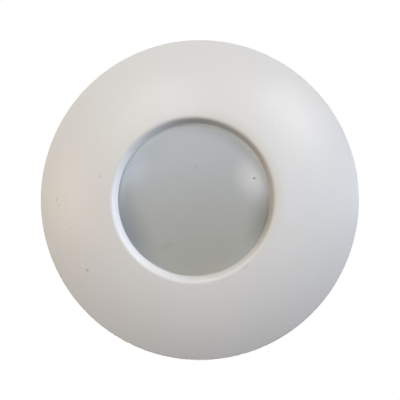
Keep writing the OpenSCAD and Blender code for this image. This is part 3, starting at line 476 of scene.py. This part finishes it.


# The glass's painted shade towards -Y and painted light towards +Y, the painted light round its upper
# edge, and its smudges.
GLASS_R = 26 * MM
GLASS_PAINTED_SHADE = (0.53, 0.54, 0.50)
GLASS_PAINTED_LIGHT = (0.68, 0.735, 0.77)
EDGE_LIGHT_COLOUR = (0.95, 1.0, 1.0)
EDGE_LIGHT_R = (22.6 * MM, 25.0 * MM)
SMUDGE_COLOUR = (0.30, 0.31, 0.30)
SMUDGE_STRENGTH = 0.06
GLASS_ROUGHNESS = (0.42, 0.46)
# Painted reflections of the lamp's mirror on the frosting, where it is bright and where it is dark, with
# colour, strength, distance and bearing from the axis, and half size outwards and crossways.
PAINTED_MIRROR_REFLECTIONS = (
    ((0.97, 0.985, 1.0), 1.0, 22.3, 160.0, (9.5, 11.0)),
    ((0.80, 0.86, 0.94), 0.75, 23.0, 26.0, (8.0, 9.0)),
    ((0.31, 0.34, 0.36), 0.95, 27.0, 337.0, (12.0, 26.0)),
    ((0.30, 0.30, 0.27), 0.95, 27.0, 197.0, (10.0, 16.0)),
    ((0.56, 0.58, 0.58), 0.5, 25.0, 227.0, (6.0, 9.0)),
)
# Dust and a wiped mark on the glass, given in the same way, with the mark's turn.
GLASS_MARKS = (
    ((0.16, 0.16, 0.16), 0.9, 21.4, 160.7, (0.5, 0.5)),
    ((0.42, 0.40, 0.39), 0.35, 18.3, 301.0, (0.9, 4.4), -54.0),
    ((0.46, 0.47, 0.46), 0.4, 10.8, 94.0, (0.8, 0.8)),
)


def make_frosted_glass():
    """Glass that is frosted on its back and satin in front. The lamp shows through it dimly, with painted
    reflections of its mirror, painted light towards +Y and round its upper edge, and painted shade
    towards -Y."""
    material, tree, shader = new_material(
        "Frosted glass", Transmission_Weight=0.3, IOR=1.45, Coat_Weight=0.9, Coat_Roughness=0.25)
    # Painted light towards +Y and painted shade towards -Y.
    upper = steps_between(tree, place_along(tree, "Y"), -GLASS_R, GLASS_R)
    paint = blend_colour(tree, upper, GLASS_PAINTED_SHADE, GLASS_PAINTED_LIGHT)
    # Painted light round the glass's upper edge, where the wall's shade would fall.
    rim = steps_between(tree, from_axis(tree), *EDGE_LIGHT_R)
    paint = blend_colour(tree, math_node(tree, "MULTIPLY", rim, upper), paint, EDGE_LIGHT_COLOUR)
    # Painted reflections of the lamp's mirror, bright and dark.
    for patch in PAINTED_MIRROR_REFLECTIONS:
        paint = add_patch(tree, paint, *patch)
    for mark in GLASS_MARKS:
        paint = add_patch(tree, paint, *mark, sharp=0.6)
    mottled = place_group(tree, mottle_group, Scale=60.0)
    smudges = math_node(tree, "MULTIPLY", mottled.outputs["Tone"], SMUDGE_STRENGTH)
    tree.links.new(blend_colour(tree, smudges, paint, SMUDGE_COLOUR), shader.inputs["Base Color"])
    rough = gloss_between(tree, mottled.outputs["Tone"], GLASS_ROUGHNESS)
    tree.links.new(rough, shader.inputs["Roughness"])
    grain = place_group(tree, skin_group, Coarse=3000.0, Fine=9000.0)
    tree.links.new(bump(tree, grain.outputs["Height"], 0.00001), shader.inputs["Normal"])
    return material


def make_lamp_glass():
    """Clear pressed glass with a slightly wavy face."""
    material, tree, shader = new_material("Lamp glass", Transmission_Weight=1.0, IOR=1.45)
    mottled = place_group(tree, mottle_group, Scale=90.0)
    tree.links.new(blend_colour(tree, mottled.outputs["Tone"], (0.97, 0.98, 0.98), (0.94, 0.96, 0.96)),
                   shader.inputs["Base Color"])
    shader.inputs["Roughness"].default_value = 0.12
    relief = place_group(tree, skin_group, Coarse=500.0, Fine=1500.0)
    tree.links.new(bump(tree, relief.outputs["Height"], 0.0001), shader.inputs["Normal"])
    return material


def make_lamp_mirror():
    return surface("Lamp mirror", (0.86, 0.87, 0.88), (0.80, 0.81, 0.83), (0.06, 0.12),
                   coarse=300.0, fine=1500.0, depth=0.00005, edge=0.0002, Metallic=1.0)


def make_cast_aluminium():
    return surface("Cast aluminium", (0.60, 0.61, 0.62), (0.50, 0.51, 0.525), (0.44, 0.58),
                   coarse=700.0, fine=2600.0, depth=0.00012, edge=0.0004, edge_colour=(0.78, 0.79, 0.80),
                   mottle=45.0, dust=0.25, scratches=0.4, Metallic=1.0)


def make_zinc_steel():
    return surface("Zinc plated steel", (0.70, 0.71, 0.73), (0.62, 0.635, 0.66), (0.22, 0.34),
                   coarse=500.0, fine=3500.0, depth=0.00002, edge=0.00015, edge_colour=(0.82, 0.82, 0.83),
                   mottle=120.0, dust=0.1, scratches=0.6, Metallic=1.0)


def make_spring_steel():
    return surface("Spring steel", (0.52, 0.525, 0.54), (0.44, 0.445, 0.46), (0.2, 0.32),
                   coarse=900.0, fine=4000.0, depth=0.00001, edge=0.0001,
                   mottle=200.0, scratches=0.7, Metallic=1.0)


def make_brass():
    return surface("Machined brass", (0.74, 0.56, 0.27), (0.66, 0.49, 0.23), (0.22, 0.34),
                   coarse=800.0, fine=3500.0, depth=0.00001, edge=0.00012,
                   mottle=150.0, scratches=0.6, Metallic=1.0)


def make_bronze():
    return surface("Contact bronze", (0.68, 0.45, 0.22), (0.58, 0.38, 0.2), (0.24, 0.36),
                   coarse=800.0, fine=3500.0, depth=0.00001, edge=0.0001, mottle=150.0, Metallic=1.0)


def make_nickel():
    return surface("Nickel plate", (0.70, 0.67, 0.61), (0.62, 0.6, 0.55), (0.18, 0.3),
                   coarse=900.0, fine=4000.0, depth=0.00001, edge=0.00012,
                   mottle=180.0, scratches=0.6, Metallic=1.0)


def make_tinned_copper():
    return surface("Tinned copper", (0.72, 0.71, 0.69), (0.64, 0.63, 0.61), (0.26, 0.4),
                   coarse=900.0, fine=4000.0, depth=0.00002, edge=0.0001, mottle=180.0, Metallic=1.0)


def make_black_rubber():
    return surface("Black rubber", (0.022, 0.022, 0.023), (0.034, 0.034, 0.034), (0.6, 0.78),
                   coarse=1200.0, fine=5000.0, depth=0.00005, edge=0.0002, mottle=80.0, dust=0.35)


def make_clear_silicone():
    """Silicone with painted light towards +Y, where the wall's shade falls on it, and painted shade
    towards +X.
    """
    material = surface("Silicone with painted light and shade", (0.64, 0.65, 0.64), (0.57, 0.58, 0.57), (0.35, 0.5),
                       coarse=900.0, fine=4000.0, depth=0.00003, edge=0.0002, mottle=100.0)
    tree, colour, paint = colour_of(material)
    # Painted light towards +Y, where the wall's shade falls on the seal.
    paint = add_patch(tree, paint, (0.97, 1.0, 1.0), 1.0, RECESS_R, 100.0, (30.0, 30.0), sharp=0.5)
    # Painted shade towards +X.
    paint = add_patch(tree, paint, (0.36, 0.39, 0.42), 0.9, RECESS_R, -15.0, (22.0, 22.0), sharp=0.5)
    tree.links.new(paint, colour)
    return material


def make_white_silicone():
    return surface("White silicone sleeve", (0.76, 0.76, 0.73), (0.7, 0.7, 0.67), (0.42, 0.56),
                   coarse=900.0, fine=4000.0, depth=0.00004, edge=0.0002, mottle=100.0, dust=0.3,
                   Subsurface_Weight=0.2, Subsurface_Radius=(0.001, 0.001, 0.001))


def make_ceramic():
    return surface("White ceramic", (0.80, 0.79, 0.74), (0.74, 0.73, 0.68), (0.18, 0.3),
                   coarse=400.0, fine=2500.0, depth=0.00005, edge=0.0004,
                   mottle=70.0, Coat_Weight=0.4, Coat_Roughness=0.1)


def make_terminal_nylon():
    return surface("Natural nylon", (0.78, 0.78, 0.72), (0.72, 0.72, 0.66), (0.38, 0.5),
                   coarse=700.0, fine=3000.0, depth=0.00003, edge=0.0003, mottle=80.0,
                   Subsurface_Weight=0.2, Subsurface_Radius=(0.002, 0.002, 0.0015))


def make_black_nylon():
    return surface("Black nylon", (0.02, 0.02, 0.021), (0.03, 0.03, 0.031), (0.34, 0.46),
                   coarse=900.0, fine=3500.0, depth=0.00005, edge=0.0003, edge_colour=(0.07, 0.07, 0.07),
                   mottle=60.0, dust=0.2)


def make_pvc(name, colour, toned):
    return surface(name, colour, toned, (0.34, 0.46),
                   coarse=900.0, fine=4000.0, depth=0.00002, edge=0.0001, mottle=120.0)


def make_earth_pvc():
    """Green, with a yellow stripe along one side of the lead."""
    material = make_pvc("Green and yellow PVC", (0.04, 0.27, 0.05), (0.035, 0.23, 0.045))
    tree, colour, paint = colour_of(material)
    stripe = steps_between(tree, place_along(tree, "X"), 0.15 * MM, 0.25 * MM)
    tree.links.new(blend_colour(tree, stripe, paint, (0.72, 0.60, 0.04)), colour)
    return material


FINISHES = {
    "white_powder_coat": make_powder_coat(),
    "frosted_glass": make_frosted_glass(),
    "clear_silicone": make_clear_silicone(),
    "spring_steel": make_spring_steel(),
    "black_rubber": make_black_rubber(),
    "cast_aluminium": make_cast_aluminium(),
    "zinc_steel": make_zinc_steel(),
    "lamp_mirror": make_lamp_mirror(),
    "lamp_glass": make_lamp_glass(),
    "white_ceramic": make_ceramic(),
    "nickel_pins": make_nickel(),
    "contact_bronze": make_bronze(),
    "terminal_nylon": make_terminal_nylon(),
    "terminal_brass": make_brass(),
    "brown_pvc": make_pvc("Brown PVC", (0.16, 0.07, 0.035), (0.13, 0.055, 0.03)),
    "blue_pvc": make_pvc("Blue PVC", (0.03, 0.12, 0.38), (0.025, 0.1, 0.32)),
    "green_yellow_pvc": make_earth_pvc(),
    "tinned_copper": make_tinned_copper(),
    "black_nylon": make_black_nylon(),
    "white_silicone": make_white_silicone(),
}

for part in frame["record"]["subparts"]:
    node = frame["nodes"][part["node"]]
    node.data.materials.clear()
    node.data.materials.append(FINISHES[part["material_slot"]])


# ---------------------------------------------------------------- bezel

APERTURE_R = 25.5 * MM
LIP_R = 1.4 * MM
LIP_REACH = 2.1 * MM
LIP_DRAFT = 35
LIP_SLOPE = 8
EDGE_R = 1.0 * MM
EDGE_BAND = 0.4 * MM
SHADOW_GAP = 0.4 * MM
BEZEL_WALL = 2.0 * MM
LEDGE = 0.5 * MM
RIB_T = 1.6 * MM
RIBS = 12
RIB_GAP = 0.5 * MM
GROOVE_R = POCKET_R + 0.9 * MM
GROOVE_PLAY = 0.1 * MM
COLLAR_CHAMFER = 0.6 * MM
FENCE = (35.9 * MM, 37.1 * MM)
O_RING_FLOOR = O_RING_Z - 0.05 * MM
FENCE_TOP = O_RING_FLOOR + 1.0 * MM
BEZEL_PITCH = 2.0 * MM
BEZEL_STARTS = 2
BEZEL_RIDGE = 0.22 * MM
BEZEL_THREAD_Z = (-2.4 * MM, 2.2 * MM)

lip_mid = Vector((APERTURE_R + LIP_REACH, LIP_Z + LIP_R))
edge_mid = Vector((RIM_R - EDGE_R, -SHADOW_GAP - EDGE_BAND))
slope = math.radians(LIP_SLOPE)
dome_start = lip_mid + (LIP_R - EDGE_R) * Vector((math.sin(slope), -math.cos(slope)))
chord = edge_mid - dome_start
EDGE_SLOPE = 2 * math.degrees(math.atan2(chord.y, chord.x)) - LIP_SLOPE
inner_dome_r = chord.length / 2 / math.sin(math.radians(EDGE_SLOPE - LIP_SLOPE) / 2)
DOME_R = inner_dome_r + EDGE_R
dome_mid = dome_start + inner_dome_r * Vector((-math.sin(slope), math.cos(slope)))
BACK_R = DOME_R - BEZEL_WALL


def dome_back(r):
    """Height of the dome's inner face."""
    return dome_mid.y - math.sqrt(BACK_R ** 2 - (r - dome_mid.x) ** 2)


def bezel_outline():
    """Up the recess's wall, round the lip, over the dome and its edge, and back by the collar."""
    back_end = math.degrees(math.acos((dome_mid.y + SHADOW_GAP) / BACK_R))
    back_start = math.degrees(math.asin((FENCE[1] - dome_mid.x) / BACK_R))
    ledge_z = SEAT_Z - LEDGE
    front = [(APERTURE_R, ledge_z)]
    front += arc(lip_mid, LIP_R, 180 + LIP_DRAFT, 270 + LIP_SLOPE, 14)
    front += arc(dome_mid, DOME_R, 270 + LIP_SLOPE, 270 + EDGE_SLOPE, 48)[1:]
    front += arc(edge_mid, EDGE_R, 270 + EDGE_SLOPE, 360, 10)[1:]
    back = arc(dome_mid, BACK_R, 270 + back_end, 270 + back_start, 24)
    collar = [
        (FENCE[1], FENCE_TOP), (FENCE[0], FENCE_TOP), (FENCE[0], O_RING_FLOOR),
        (COLLAR_R, O_RING_FLOOR), (COLLAR_R, COLLAR_TOP - COLLAR_CHAMFER),
        (COLLAR_R - COLLAR_CHAMFER, COLLAR_TOP), (POCKET_R, COLLAR_TOP),
        (POCKET_R, RING_Z[1] + GROOVE_PLAY), (GROOVE_R, RING_Z[1] + GROOVE_PLAY),
        (GROOVE_R, RING_Z[0] - GROOVE_PLAY), (POCKET_R, RING_Z[0] - GROOVE_PLAY),
        (POCKET_R, SEAT_Z), (APERTURE_R, SEAT_Z)]
    return front + [(RIM_R, -SHADOW_GAP)] + back + collar


def add_bezel_rib(bm, turn):
    """One stiffening rib, which slopes from the collar's fence into the back of the dome."""
    start = (FENCE[0] + FENCE[1]) / 2
    finish = dome_mid.x + math.sqrt(BACK_R ** 2 - (dome_mid.y - FLANGE_Z + RIB_GAP) ** 2)
    below = [start + (finish - start) * i / 10 for i in range(11)]
    outline = [(start, FENCE_TOP), (finish, dome_back(finish))]
    outline += [(r, dome_back(r) - BEZEL_WALL / 2) for r in reversed(below)]
    verts = [bm.verts.new((r, -RIB_T / 2, z)) for r, z in outline]
    face = bm.faces.new(verts)
    raised = bmesh.ops.extrude_face_region(bm, geom=[face])
    moved = [g for g in raised["geom"] if isinstance(g, bmesh.types.BMVert)]
    bmesh.ops.translate(bm, verts=moved, vec=(0, RIB_T, 0))
    bmesh.ops.rotate(bm, verts=verts + moved, cent=(0, 0, 0), matrix=Matrix.Rotation(turn, 3, "Z"))


def make_bezel():
    """The bezel's casting, with ribs on its back and a thread of two starts on its collar."""
    bm = bmesh.new()
    revolve(bm, bezel_outline(), steps=256)
    for i in range(RIBS):
        add_bezel_rib(bm, 2 * math.pi * (i + 0.5) / RIBS)
    thread(bm, COLLAR_R, BEZEL_RIDGE, *BEZEL_THREAD_Z, BEZEL_PITCH, BEZEL_STARTS)
    finished("bezel_casting", bm, "bezel", "white_powder_coat", replaces=("bezel",), smooth=35)


make_bezel()


# ---------------------------------------------------------------- glass, and threads

GLASS_EDGE_R = 0.5 * MM
THREAD_PLAY = 0.3 * MM
MOUTH_THREAD_Z = (-1.4 * MM, 5.6 * MM)
GLAND_PITCH = 1.5 * MM
GLAND_SPIGOT_R = 8.0 * MM
GLAND_RIDGE = 0.2 * MM
GLAND_RUN_IN = 0.2 * MM
GLAND_RUN_OUT = 0.5 * MM
# The gland's tail, which goes down through the cover to the locknut.
TAIL_R = GLAND_SPIGOT_R - 0.1 * MM
TAIL_RIDGE = 0.15 * MM
TAIL_RUN_IN = 0.3 * MM


def make_glass_disc():
    """The front glass, with its edges ground round."""
    low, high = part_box("front_glass")
    bm = bmesh.new()
    edge = arc((high.x - GLASS_EDGE_R, low.z + GLASS_EDGE_R), GLASS_EDGE_R, -90, 0, 4)
    edge += arc((high.x - GLASS_EDGE_R, high.z - GLASS_EDGE_R), GLASS_EDGE_R, 0, 90, 4)
    revolve(bm, [(0, low.z)] + edge + [(0, high.z)], steps=192)
    finished("glass_disc", bm, "bezel", "frosted_glass", replaces=("front_glass",))


def make_mouth_thread():
    """Two ridges in the can's mouth, which run between those of the bezel's collar."""
    bm = bmesh.new()
    thread(bm, COLLAR_R + THREAD_PLAY, -BEZEL_RIDGE, *MOUTH_THREAD_Z, BEZEL_PITCH, BEZEL_STARTS)
    finished("mouth_thread", bm, "housing", "cast_aluminium")


def make_gland_threads():
    """The threads that the gland's nut runs on, and the one under the cover for the locknut."""
    body_low, body_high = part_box("gland_body")
    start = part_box("gland_nut")[0].z + GLAND_RUN_IN
    end = body_high.z - GLAND_RUN_OUT
    cover_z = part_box("rear_cover")[0].z
    bm = bmesh.new()
    thread(bm, GLAND_SPIGOT_R, GLAND_RIDGE, start, end, GLAND_PITCH, 1, steps=48)
    thread(bm, TAIL_R, TAIL_RIDGE, body_low.z + TAIL_RUN_IN, cover_z, GLAND_PITCH, 1, steps=48)
    finished("gland_threads", bm, "housing", "black_nylon")
    bm = bmesh.new()
    start += GLAND_PITCH / 2
    thread(bm, GLAND_SPIGOT_R + THREAD_PLAY, -GLAND_RIDGE, start, end, GLAND_PITCH, 1, steps=48)
    finished("gland_nut_thread", bm, "gland_nut", "black_nylon")


make_glass_disc()
make_mouth_thread()
make_gland_threads()


# ---------------------------------------------------------------- springs of the arms

WIRE_R = 0.6 * MM
COIL_R = 2.4 * MM
SPRING_TURNS = 5
SPRING_PITCH = 1.7 * MM
SPRING_LEG = 10 * MM
ARM_SWING = 112
COIL_WIDTH = (SPRING_TURNS + ARM_SWING / 360) * SPRING_PITCH
TURN_STEPS = 28
# Heights under the pivot where the fixed leg is divided, and places along the leg on the arm.
FOOT_STEPS = (-2.4 * MM, -1.2 * MM, -0.5 * MM)
LEG_STEPS = (0.5 * MM, 1.2 * MM, SPRING_LEG * 0.5, SPRING_LEG)


def spring_path(foot_z):
    """Up out of the can's shoulder, round the pivot pin, and out along the arm."""
    pivot = middle("pivot_pin_right")
    sweep = 360 * SPRING_TURNS + ARM_SWING
    steps = int(sweep / 360 * TURN_STEPS)
    foot = [Vector((-COIL_R, -COIL_WIDTH / 2, z)) for z in (foot_z - pivot.z, *FOOT_STEPS)]
    coil = []
    for i in range(steps + 1):
        angle = math.radians(180 - sweep * i / steps)
        along = COIL_WIDTH * (i / steps - 0.5)
        coil.append(Vector((COIL_R * math.cos(angle), along, COIL_R * math.sin(angle))))
    ahead = Vector((math.sin(angle), 0, -math.cos(angle)))
    leg = [coil[-1] + ahead * reach for reach in LEG_STEPS]
    return [pivot + point for point in foot + coil + leg]


def make_spring(side, path):
    """A torsion spring, wound round the pivot between the can and the arm."""
    bm = bmesh.new()
    tube(bm, path, WIRE_R, sides=12)
    name = "clip_spring_" + side
    piece = finished("wound_spring_" + side, bm, None, "spring_steel", replaces=(name,), smooth=60)
    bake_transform(piece)


right_path = spring_path(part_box("clip_spring_right")[0].z)
make_spring("right", right_path)
make_spring("left", half_turned(right_path))


# ---------------------------------------------------------------- leads

LEAD_R = 1.1 * MM
LEAD_END = 1.4 * MM
# How far the outer ways of the terminal block lie from its middle.
WAY_X = 10 * MM
LEAD_CLEARANCE = 0.2 * MM
CRIMPED = 2.5 * MM


def eased(t):
    """A smooth rise from 0 to 1 as t goes from 0 to 1."""
    return t * t * (3 - 2 * t)


def rising(start, finish, steps=16):
    """A quarter turn from straight up at start to level along +Y at finish."""
    points = []
    for i in range(steps + 1):
        t = i / steps
        angle = math.pi / 2 * t
        across = start.x + (finish.x - start.x) * eased(t)
        points.append(Vector((across, start.y + (finish.y - start.y) * (1 - math.cos(angle)),
                              start.z + (finish.z - start.z) * math.sin(angle))))
    return points


def make_lead(name, slot, path):
    """An insulated lead, from the lamp holder or the earth screw into the terminal block."""
    bm = bmesh.new()
    tube(bm, path, LEAD_R, sides=20)
    finished("insulated_" + name, bm, "housing", slot, replaces=(name,), smooth=60)


def holder_path(name, side):
    """Up through the bracket's hole, then level into the block. side is that of the way in X."""
    low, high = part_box(name)
    exit_x = low.x + LEAD_R if side > 0 else high.x - LEAD_R
    foot = Vector((exit_x, low.y + LEAD_R, low.z))
    bend = Vector((foot.x, foot.y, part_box("wiring_bracket")[1].z + LEAD_CLEARANCE))
    mouth = Vector((side * WAY_X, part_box("terminal_block")[0].y, middle("terminal_inserts").z))
    return [foot] + rising(bend, mouth) + [mouth + Vector((0, LEAD_END, 0))]


def earth_path(steps=20):
    """Level out of the crimped ring, then up in a soft S into the block's middle way."""
    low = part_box("earth_lead")[0]
    start = Vector((0, low.y, low.z + LEAD_R))
    finish = Vector((0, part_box("terminal_block")[0].y, middle("terminal_inserts").z))
    run = finish.y - start.y - CRIMPED
    bend = [Vector((0, start.y + CRIMPED + run * t, start.z + (finish.z - start.z) * eased(t)))
            for t in (i / steps for i in range(steps + 1))]
    return [start] + bend + [finish + Vector((0, LEAD_END, 0))]


make_lead("live_lead", "brown_pvc", holder_path("live_lead", -1))
make_lead("neutral_lead", "blue_pvc", holder_path("neutral_lead", 1))
make_lead("earth_lead", "green_yellow_pvc", earth_path())


# ---------------------------------------------------------------- lamp

BOWL_WALL = 1.2 * MM
BOWL_NECK_R = 12 * MM
BOWL_RIM_H = 4.5 * MM
BOWL_NECK_H = 5 * MM
# Powers of the cosine and the sine that give the bowl its curve.
BOWL_FULLNESS = (0.9, 1.15)
BOWL_ROWS = 9
BOWL_SIDES = 48
LENS_LEDGE = 0.9 * MM
BOWL_CHAMFER = 0.1 * MM


def bowl_outline():
    """The bowl's outside from rim to neck, back down inside it, and round the lens's seat."""
    low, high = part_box("lamp_reflector")
    lens_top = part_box("lamp_front_lens")[1].z
    rim_r = high.x
    seat_r = rim_r - BOWL_WALL
    spread = rim_r - BOWL_NECK_R
    foot = low.z + BOWL_RIM_H
    rise = high.z - BOWL_NECK_H - foot
    angles = [math.pi / 2 * i / BOWL_ROWS for i in range(BOWL_ROWS + 1)]
    outside = [(BOWL_NECK_R + spread * math.cos(a) ** BOWL_FULLNESS[0],
                foot + rise * math.sin(a) ** BOWL_FULLNESS[1]) for a in angles]
    inside = [(r - BOWL_WALL * math.cos(a), z - BOWL_WALL * math.sin(a))
              for (r, z), a in zip(outside, angles)]
    neck_r = BOWL_NECK_R - BOWL_WALL
    neck = [(BOWL_NECK_R, high.z), (neck_r, high.z), (neck_r, inside[-1][1])]
    seat = [(seat_r - LENS_LEDGE, lens_top), (seat_r, lens_top), (seat_r, low.z)]
    rim = [(rim_r - BOWL_CHAMFER, low.z), (rim_r, low.z + BOWL_CHAMFER)]
    return outside + neck + inside[::-1] + seat + rim


def make_reflector():
    """The pressed glass bowl of the lamp, with rows of flat facets."""
    bm = bmesh.new()
    revolve(bm, bowl_outline(), steps=BOWL_SIDES)
    finished("lamp_bowl", bm, "lamp", "lamp_mirror", replaces=("lamp_reflector",), smooth=5)


make_reflector()


# ---------------------------------------------------------------- camera, light and floor

PICTURE = 400
RIM_RADIUS_PX = 159.95
RIM_CENTRE_PX = (199.9, 200.1)
SENSOR = 36.0
VIEW_DISTANCE = 0.22
VIEW_SIDE = math.radians(6.0)
VIEW_DOWN = math.radians(0.35)
WHITE = (1.0, 1.0, 1.0)
AMBIENT_COLOUR = (0.778, 0.832, 1.0)
AMBIENT_STRENGTH = 0.2345
FLOOR_GLOW = 0.7
FLOOR_HALF_SIZE = 6.0
FLOOR_Z = -1.1
LIGHT_FADE = 0.7
# Lights: name, place, aim, width, power in watts, colour, and the spread in degrees of a narrow one.
LIGHTS = (
    ("key", (-0.46, 0.46, -0.546), (0, 0, 0), 0.45, 3.12, (1.0, 0.966, 0.952), None),
    ("second", (0.273, 0.473, -0.651), (0, 0, 0), 0.45, 1.41, (0.95, 1.0, 0.95), None),
    ("warm side", (0.751, 0.0, -0.399), (0, 0, 0), 0.45, 1.7, (1.0, 0.684, 0.316), None),
    ("cool side", (-0.839, 0.073, -0.118), (0, 0, -0.01), 0.06, 8.6, (0.57, 0.743, 1.0), 5.0),
    ("roof side", (0.2, -0.5, 1.1), (0, 0, 0), 0.7, 7.0, WHITE, None),
)


def add_camera():
    """The camera hangs below the light, a little to the side of its axis, and looks up."""
    scale = RIM_RADIUS_PX / RIM_R
    aim = Vector([(middle_px - PICTURE / 2) / scale for middle_px in RIM_CENTRE_PX] + [edge_mid.y])
    for axis, turn in ((0, VIEW_SIDE), (1, VIEW_DOWN)):
        # Seen from close by, the rim's outline lies a little nearer to the camera than its middle.
        aim[axis] -= RIM_R ** 2 * math.sin(turn) * math.cos(turn) / VIEW_DISTANCE
    back = Vector((-math.sin(VIEW_SIDE), -math.sin(VIEW_DOWN), -math.cos(VIEW_SIDE))).normalized()
    data = bpy.data.cameras.new("camera")
    data.sensor_width = SENSOR
    data.lens = VIEW_DISTANCE * scale * SENSOR / PICTURE
    camera = bpy.data.objects.new("camera", data)
    bpy.context.scene.collection.objects.link(camera)
    camera.location = aim + back * VIEW_DISTANCE
    right = Vector((0, 1, 0)).cross(back).normalized()
    up = back.cross(right)
    camera.rotation_euler = Matrix((right, up, back)).transposed().to_euler()
    bpy.context.scene.camera = camera


def add_light(name, place, aim, width, power, colour, spread):
    """A soft round light or, where it has a spread, a narrow one with a soft edge."""
    data = bpy.data.lights.new(name, "SPOT" if spread else "AREA")
    if spread:
        data.spot_size = math.radians(spread)
        data.spot_blend = LIGHT_FADE
        data.shadow_soft_size = width / 2
    else:
        data.shape = "DISK"
        data.size = width
    data.energy = power
    data.color = colour
    light = bpy.data.objects.new(name, data)
    bpy.context.scene.collection.objects.link(light)
    light.location = place
    light.rotation_euler = (Vector(place) - Vector(aim)).to_track_quat("Z", "Y").to_euler()


def seen_directly(tree):
    """1 for what the camera sees, straight or in a mirror or through glass, and 0 for light."""
    seen = tree.nodes.new("ShaderNodeLightPath")
    direct = math_node(tree, "MAXIMUM", seen.outputs["Is Camera Ray"], seen.outputs["Is Glossy Ray"])
    return math_node(tree, "MAXIMUM", direct, seen.outputs["Is Transmission Ray"])


def add_world():
    """An even, dim sky for light, and plain white for what is seen directly."""
    world = bpy.data.worlds.new("studio")
    bpy.context.scene.world = world
    world.use_nodes = True
    tree = world.node_tree
    tree.nodes.clear()
    link = tree.links.new
    ambient = tree.nodes.new("ShaderNodeBackground")
    ambient.inputs["Color"].default_value = (*AMBIENT_COLOUR, 1)
    ambient.inputs["Strength"].default_value = AMBIENT_STRENGTH
    white = tree.nodes.new("ShaderNodeBackground")
    white.inputs["Color"].default_value = (*WHITE, 1)
    mix = tree.nodes.new("ShaderNodeMixShader")
    link(seen_directly(tree), mix.inputs["Fac"])
    link(ambient.outputs[0], mix.inputs[1])
    link(white.outputs[0], mix.inputs[2])
    link(mix.outputs[0], tree.nodes.new("ShaderNodeOutputWorld").inputs["Surface"])


def add_floor():
    """A plain pale floor, far enough below for the camera to stand on it."""
    bm = bmesh.new()
    bmesh.ops.create_grid(bm, x_segments=1, y_segments=1, size=FLOOR_HALF_SIZE)
    bmesh.ops.translate(bm, verts=bm.verts, vec=(0, 0, FLOOR_Z))
    mesh = bpy.data.meshes.new("floor")
    bm.to_mesh(mesh)
    bm.free()
    floor = bpy.data.objects.new("floor", mesh)
    bpy.context.scene.collection.objects.link(floor)
    material, tree, shader = new_material("Pale floor", Base_Color=(0.86, 0.86, 0.86, 1), Roughness=0.8)
    shader.inputs["Emission Color"].default_value = (*WHITE, 1)
    glow = math_node(tree, "MULTIPLY", seen_directly(tree), FLOOR_GLOW)
    tree.links.new(glow, shader.inputs["Emission Strength"])
    mesh.materials.append(material)


add_camera()
add_world()
add_floor()
for light in LIGHTS:
    add_light(*light)

bpy.context.scene.view_settings.view_transform = "Standard"
